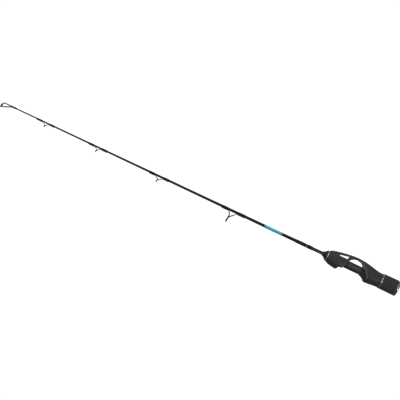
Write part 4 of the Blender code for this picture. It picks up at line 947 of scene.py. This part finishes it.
class Finish:
    """A material round one Principled shader.  Constants go straight onto the shader's sockets."""

    def __init__(self, name, **constants):
        self.material = bpy.data.materials.new(name)
        self.material.use_nodes = True
        self.tree = self.material.node_tree
        self.shader = next(n for n in self.tree.nodes if n.type == "BSDF_PRINCIPLED")
        for key, value in constants.items():
            self.feed(self.shader.inputs[key.replace("_", " ").title().replace("Ior", "IOR")], value)
        place = self.node("ShaderNodeTexCoord", {}, {})
        self.place = Signal(self, place.outputs["Object"])
        parts = self.node("ShaderNodeSeparateXYZ", {}, {0: self.place})
        self.x, self.y, self.z = (Signal(self, parts.outputs[i]) for i in range(3))

    def node(self, kind, settings, inputs):
        """Any node: its settings are set first, then its inputs, by value or by link."""
        made = self.tree.nodes.new(kind)
        for key, value in settings.items():
            setattr(made, key, value)
        for key, value in inputs.items():
            self.feed(made.inputs[key], value)
        return made

    def feed(self, socket, value):
        if isinstance(value, Signal):
            self.tree.links.new(value.socket, socket)
        elif isinstance(value, tuple) and len(value) == 3 and socket.type == "RGBA":
            socket.default_value = (*value, 1)
        else:
            socket.default_value = value

    def signal(self, kind, settings, inputs, output=0):
        return Signal(self, self.node(kind, settings, inputs).outputs[output])

    def noise(self, size, detail=3.0, stretch=(1, 1, 1)):
        """Noise whose features measure about size metres; stretch makes them longer along an axis."""
        scale = tuple(1 / (size * part) for part in stretch)
        inputs = {"Vector": self.scaled(scale), "Scale": 1.0, "Detail": detail}
        return self.signal("ShaderNodeTexNoise", {}, inputs)

    def cells(self, size):
        inputs = {"Vector": self.scaled((1 / size,) * 3), "Scale": 1.0}
        return self.signal("ShaderNodeTexVoronoi", {}, inputs)

    def scaled(self, scale):
        settings = {"operation": "MULTIPLY"}
        return self.signal("ShaderNodeVectorMath", settings, {0: self.place, 1: scale})

    def noted(self, name):
        """A number that the piece keeps at each of its points."""
        return self.signal("ShaderNodeAttribute", {"attribute_name": name}, {}, 2)

    def turn(self):
        """Angle about the rod's centre line, in radians."""
        return self.y.math("ARCTAN2", self.z - AXIS_Z)

    def step(self, signal, low, high):
        """0 below low, 1 above high, smooth between."""
        settings = {"interpolation_type": "SMOOTHSTEP"}
        inputs = {"Value": signal, "From Min": low, "From Max": high, "To Min": 0.0, "To Max": 1.0}
        return self.signal("ShaderNodeMapRange", settings, inputs)

    def blend(self, share, first, second):
        inputs = {0: share, 6: first, 7: second}
        return self.signal("ShaderNodeMix", {"data_type": "RGBA"}, inputs, 2)

    def bump(self, height, depth, strength=1.0):
        """Relief of the given depth in metres."""
        inputs = {"Height": height, "Distance": depth, "Strength": strength}
        self.feed(self.shader.inputs["Normal"], self.signal("ShaderNodeBump", {}, inputs))

    def tone(self, share, dark, light, **signals):
        """Colour that runs from dark to light with the share, and the surface's other signals."""
        return self.paint(base_color=self.blend(share, dark, light), **signals)

    def paint(self, **signals):
        for key, value in signals.items():
            self.feed(self.shader.inputs[key.replace("_", " ").title()], value)
        return self.material


def finish_moulding(name, shine=0.4, dark=(0.011, 0.011, 0.0105), light=(0.021, 0.0205, 0.0195)):
    """Fine spark-eroded grain, cloudy glass filling and faint handling rub."""
    finish = Finish(name, specular_ior_level=shine)
    cloud = finish.noise(0.009, 4)
    rub = finish.step(finish.noise(0.004, 5, (3, 1, 1)), 0.55, 0.75)
    grain = finish.noise(0.00022, 2)
    finish.bump(grain + 0.35 * finish.noise(0.0012, 3), 0.00004, 0.7)
    return finish.tone(cloud, dark, light, roughness=0.36 + 0.16 * cloud + 0.08 * grain - 0.07 * rub)


def finish_shell():
    """The moulding, with a paler chamfer round the window: a painted highlight where the chamfer catches the
    light.
    """
    finish = Finish("seat_nylon", specular_ior_level=0.42)
    cloud = finish.noise(0.009, 4)
    grain = finish.noise(0.00022, 2)
    painted_highlight = finish.noted("painted_highlight")
    finish.bump(grain + 0.35 * finish.noise(0.0012, 3), 0.00004, 0.7)
    tone = finish.blend(cloud, (0.009, 0.009, 0.0085), (0.018, 0.0175, 0.0165))
    # the pale colour on the window's chamfer is a painted highlight
    return finish.tone(painted_highlight, tone, (0.2, 0.195, 0.185), roughness=0.33 + 0.16 * cloud + 0.08 * grain)


def finish_barrel():
    """The moulding's grain, darker, with a painted highlight on the tops of the ribs, mottled by noise."""
    finish = Finish("barrel_nylon", specular_ior_level=0.4)
    cloud, grain = finish.noise(0.009, 4), finish.noise(0.00022, 2)
    # the pale colour on the ribs' tops is a painted highlight standing for the crests' glint
    painted_highlight = finish.noted("painted_highlight")
    painted_highlight = painted_highlight * (0.55 + 0.6 * finish.noise(0.0016, 4))
    finish.bump(grain, 0.00003, 0.6)
    tone = finish.blend(cloud, grey(0.006), (0.012, 0.0115, 0.011))
    return finish.tone(painted_highlight, tone, (0.26, 0.255, 0.245), roughness=0.42 + 0.14 * cloud)


def finish_foam():
    """Closed-cell foam: packed cells with a few open, lighter pores, sanded round."""
    finish = Finish("closed_cell_foam", specular_ior_level=0.25)
    cells = finish.cells(0.00042)
    pores = finish.step(finish.cells(0.0011), 0.02, 0.3)
    cloud = finish.noise(0.006, 4)
    finish.bump(0.7 * cells + 0.6 * pores + 0.3 * finish.noise(0.0002, 2), 0.00009, 0.9)
    tone = finish.blend(cloud, (0.018, 0.017, 0.0165), (0.03, 0.0285, 0.027))
    return finish.tone(0.45 * cells, tone, (0.045, 0.042, 0.039), roughness=0.78 + 0.15 * cells)


def turning_lines(finish, pitch):
    """Fine lines round the rod, as a lathe leaves them."""
    return (finish.x * (TAU / pitch)).math("SINE") * 0.5 + 0.5


def finish_copper():
    """Copper-coloured anodising over turned aluminium, paler where it is rubbed."""
    finish = Finish("copper_anodised", metallic=1.0)
    lines = turning_lines(finish, 0.00024)
    rub = finish.noise(0.003, 4, (1, 2, 2))
    finish.bump(lines + 0.5 * finish.noise(0.0003, 2, (0.3, 3, 3)), 0.000012, 0.6)
    return finish.tone(
        rub, (0.34, 0.265, 0.195), (0.52, 0.435, 0.345),
        roughness=0.24 + 0.14 * rub + 0.06 * lines,
    )


def finish_silver_trim(edge):
    """Bright-cut band on black anodising: bright behind the edge, black in front of it."""
    finish = Finish("bright_cut_trim")
    black = finish.step(finish.x, BUTT_X - (edge - 0.05) * MM, BUTT_X - (edge + 0.05) * MM)
    lines = turning_lines(finish, 0.0002)
    smear = finish.noise(0.002, 3, (0.4, 2, 2))
    finish.bump(lines, 0.000008, 0.5)
    return finish.tone(
        black, (0.74, 0.74, 0.72), (0.025, 0.025, 0.026),
        metallic=1 - 0.7 * black, roughness=0.16 + 0.12 * smear + 0.2 * black,
    )


def finish_check():
    finish = Finish("winding_check_black", specular_ior_level=0.12)
    cloud = finish.noise(0.002, 3)
    finish.bump(turning_lines(finish, 0.00035) + cloud, 0.00001, 0.6)
    return finish.tone(cloud, grey(0.005), grey(0.011), roughness=0.3 + 0.15 * cloud)


def finish_rubber():
    finish = Finish("black_rubber", specular_ior_level=0.35)
    cloud = finish.noise(0.0015, 4)
    finish.bump(cloud + finish.noise(0.00025, 2), 0.00004, 0.6)
    return finish.tone(cloud, grey(0.02), (0.036, 0.035, 0.034), roughness=0.62 + 0.2 * cloud)


def finish_blank():
    """Carbon tube: a bare, satin grey stretch at the handle, then clear-coated black.  Narrow tape
    marks wind round it and fine fibres run along it."""
    finish = Finish("carbon_blank", specular_ior_level=0.06, coat_roughness=0.1)
    bare_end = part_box("end_wrap")[1].x
    bare = finish.step(finish.x, bare_end - 0.001, bare_end)
    tape = (finish.x * (TAU / 0.0024) + finish.turn()).math("SINE").math("ABSOLUTE").math("POWER", 6.0)
    fibres = finish.noise(0.0003, 2, (18, 1, 1))
    cloud = finish.noise(0.012, 3, (3, 1, 1))
    finish.bump(tape + 0.6 * fibres, 0.00003, 0.5)
    black = finish.blend(fibres, grey(0.0012), grey(0.005))
    satin = finish.blend(0.5 * fibres + 0.5 * cloud, (0.026, 0.026, 0.023), (0.055, 0.055, 0.05))
    return finish.tone(
        bare, black, satin,
        coat_weight=0.05 * (1 - bare), roughness=0.34 + 0.1 * bare + 0.08 * tape,
    )


def wound(finish, pitch=0.0002):
    """Round threads lying side by side."""
    return (finish.x * (math.pi / pitch) + 0.5 * finish.turn()).math("SINE").math("ABSOLUTE")


def finish_thread(name="black_thread", dark=grey(0.0015), light=grey(0.007)):
    """Wound thread under a clear coat."""
    finish = Finish(name, coat_weight=0.06, coat_roughness=0.08, specular_ior_level=0.05)
    threads = wound(finish)
    finish.bump(threads + 0.3 * finish.noise(0.0001, 2, (1, 4, 4)), 0.00004, 0.7)
    tone = threads.math("POWER", 2.0) * (0.6 + 0.8 * finish.noise(0.002, 3))
    return finish.tone(tone, dark, light, roughness=0.35 + 0.2 * threads)


def finish_wrap():
    return finish_thread("guide_thread", grey(0.0006), grey(0.0022))


def finish_trim_thread():
    """Metallic thread in a few close turns."""
    finish = Finish("silver_thread", metallic=0.75, coat_roughness=0.08)
    threads = wound(finish, 0.00028)
    finish.bump(threads, 0.00005, 0.8)
    return finish.tone(
        threads, (0.16, 0.17, 0.17), (0.5, 0.52, 0.52),
        roughness=0.3 + 0.2 * (1 - threads),
    )


def finish_blue():
    """Blue-green lacquer, with a slight shift in tone and the faint waves of a wiped coat."""
    finish = Finish("blue_lacquer", coat_weight=0.5, coat_roughness=0.1, specular_ior_level=0.4)
    waves = finish.noise(0.0025, 3, (3, 1, 1))
    flake = finish.cells(0.00018)
    finish.bump(waves, 0.00002, 0.5)
    tone = finish.blend(waves, (0.045, 0.42, 0.56), (0.07, 0.56, 0.7))
    return finish.tone(0.25 * flake, tone, (0.15, 0.68, 0.8), roughness=0.3 + 0.15 * waves)


def finish_guide():
    """Black-nickel plated wire with slight drawing lines."""
    finish = Finish("black_nickel", metallic=0.6, specular_ior_level=0.2)
    lines = finish.noise(0.00015, 2, (12, 1, 1))
    cloud = finish.noise(0.0015, 3)
    finish.bump(lines, 0.00001, 0.5)
    return finish.tone(
        cloud, (0.01, 0.01, 0.0105), (0.028, 0.028, 0.03),
        roughness=0.22 + 0.15 * cloud + 0.08 * lines,
    )


def finish_ceramic():
    finish = Finish("guide_ceramic", specular_ior_level=0.6, coat_weight=0.5, coat_roughness=0.04)
    cloud = finish.noise(0.0006, 3)
    finish.bump(cloud, 0.000006, 0.4)
    return finish.tone(cloud, (0.045, 0.046, 0.05), (0.09, 0.092, 0.098), roughness=0.12 + 0.08 * cloud)


def finish_metal(name, dark, light, roughness):
    finish = Finish(name, metallic=1.0)
    cloud = finish.noise(0.001, 4)
    finish.bump(turning_lines(finish, 0.00018) + cloud, 0.00001, 0.5)
    return finish.tone(cloud, dark, light, roughness=roughness + 0.15 * cloud)


def dress_inner_pieces():
    """Hidden pieces keep their own shape and take a fine finish."""
    for node, finish in (
        ("knob_hub", finish_moulding("hub_nylon")), ("stop_collar", finish_moulding("collar_nylon")),
        ("front_arbor", finish_foam()), ("rear_arbor", finish_foam()),
        ("snap_ring", finish_metal("spring_steel", grey(0.4), grey(0.6), 0.25)),
        ("thrust_washer", finish_metal("washer_brass", (0.5, 0.36, 0.14), (0.7, 0.52, 0.22), 0.3)),
    ):
        slots = frame["nodes"][node].material_slots
        if not slots:
            frame["nodes"][node].data.materials.append(None)
        for slot in frame["nodes"][node].material_slots:
            slot.material = finish


# ---------------------------------------------------------------- studio and camera

ROLL = math.radians(25.29)
CAMERA_DISTANCE = 2.0
VIEW_WIDTH = 0.6948
VIEW_STATION, VIEW_HEIGHT = 376.6, -7.15
TONE_CURVE = (
    (0.03, 0.03), (0.1, 0.052), (0.2, 0.092), (0.3, 0.146), (0.5, 0.3), (0.7, 0.52), (0.85, 0.74),
)
LIGHTS = (
    ("key_light", (-0.6, -1.5, 1.3), 1.6, 22), ("front_fill", (0.8, -2.2, -0.45), 0.6, 26),
    ("tip_side_light", (-1.6, -1.0, 0.3), 1.0, 14), ("top_light", (0.1, 0.3, 1.9), 1.5, 7),
    ("back_light", (-0.2, 1.4, 0.9), 1.2, 8),
)


def white_sheet():
    finish = Finish("studio_white", specular_ior_level=0.1)
    cloud = finish.noise(0.4, 2)
    finish.feed(finish.shader.inputs["Emission Strength"], 0.94)
    return finish.tone(
        cloud, grey(0.19), grey(0.21),
        emission_color=(1, 1, 1), roughness=0.9 + 0.05 * cloud,
    )


def make_studio():
    """A pale sweep: floor, quarter-round and wall, as height over depth carried sideways."""
    floor, wall, bend, half = -0.55, 2.2, 0.8, 4.0
    turn = np.linspace(0, math.pi / 2, 16)
    depth = np.concatenate([[-4.0], wall - bend + bend * np.sin(turn), [wall]])
    height = np.concatenate([[floor], floor + bend - bend * np.cos(turn), [3.5]])
    points = [(side, y, z) for y, z in zip(depth, height) for side in (-half, half)]
    faces = [(2 * i, 2 * i + 1, 2 * i + 3, 2 * i + 2) for i in range(len(depth) - 1)]
    mesh = bpy.data.meshes.new("studio_sweep")
    mesh.from_pydata(points, [], faces)
    mesh.shade_smooth()
    mesh.materials.append(white_sheet())
    sweep = bpy.data.objects.new("studio_sweep", mesh)
    bpy.context.scene.collection.objects.link(sweep)
    sweep.visible_glossy = sweep.visible_diffuse = False


def make_lights():
    """Square soft lights aimed at the rod's middle, an even white surrounding and the tone curve."""
    for name, place, size, power in LIGHTS:
        light = bpy.data.lights.new(name, "AREA")
        light.shape, light.size, light.energy = "SQUARE", size, power
        lamp = bpy.data.objects.new(name, light)
        way = Vector((-0.25, 0, 0)) - Vector(place)
        aimed = way.to_track_quat("-Z", "Y").to_matrix().to_4x4()
        lamp.matrix_world = Matrix.Translation(place) @ aimed
        bpy.context.scene.collection.objects.link(lamp)
    world = bpy.data.worlds.new("studio_air")
    world.use_nodes = True
    world.node_tree.nodes["Background"].inputs["Color"].default_value = (1, 1, 1, 1)
    world.node_tree.nodes["Background"].inputs["Strength"].default_value = 0.2
    bpy.context.scene.world = world
    settings = bpy.context.scene.view_settings
    settings.view_transform = "Standard"
    settings.use_curve_mapping = True
    for tone in TONE_CURVE:
        settings.curve_mapping.curves[3].points.new(*tone)
    settings.curve_mapping.update()


def make_camera():
    """Level side view from the left hand's side, rolled so that the tip points up and left."""
    camera = bpy.data.objects.new("camera", bpy.data.cameras.new("camera"))
    right = Vector((math.cos(ROLL), 0, math.sin(ROLL)))
    up = Vector((-math.sin(ROLL), 0, math.cos(ROLL)))
    turned_to = Matrix((right, up, Vector((0, -1, 0)))).transposed().to_4x4()
    aim = Vector((BUTT_X - VIEW_STATION * MM, -CAMERA_DISTANCE, AXIS_Z + VIEW_HEIGHT * MM))
    camera.matrix_world = Matrix.Translation(aim) @ turned_to
    camera.data.sensor_width = 36
    camera.data.lens = camera.data.sensor_width * CAMERA_DISTANCE / VIEW_WIDTH
    bpy.context.scene.collection.objects.link(camera)
    bpy.context.scene.camera = camera


make_camera()
make_lights()
make_studio()
make_shell()
make_hood()
make_barrel()
make_grip()
make_nose_trim()
make_blank()
make_bands()
for guide in GUIDE_SIZES:
    make_guide(guide)
make_tip_top()
dress_inner_pieces()
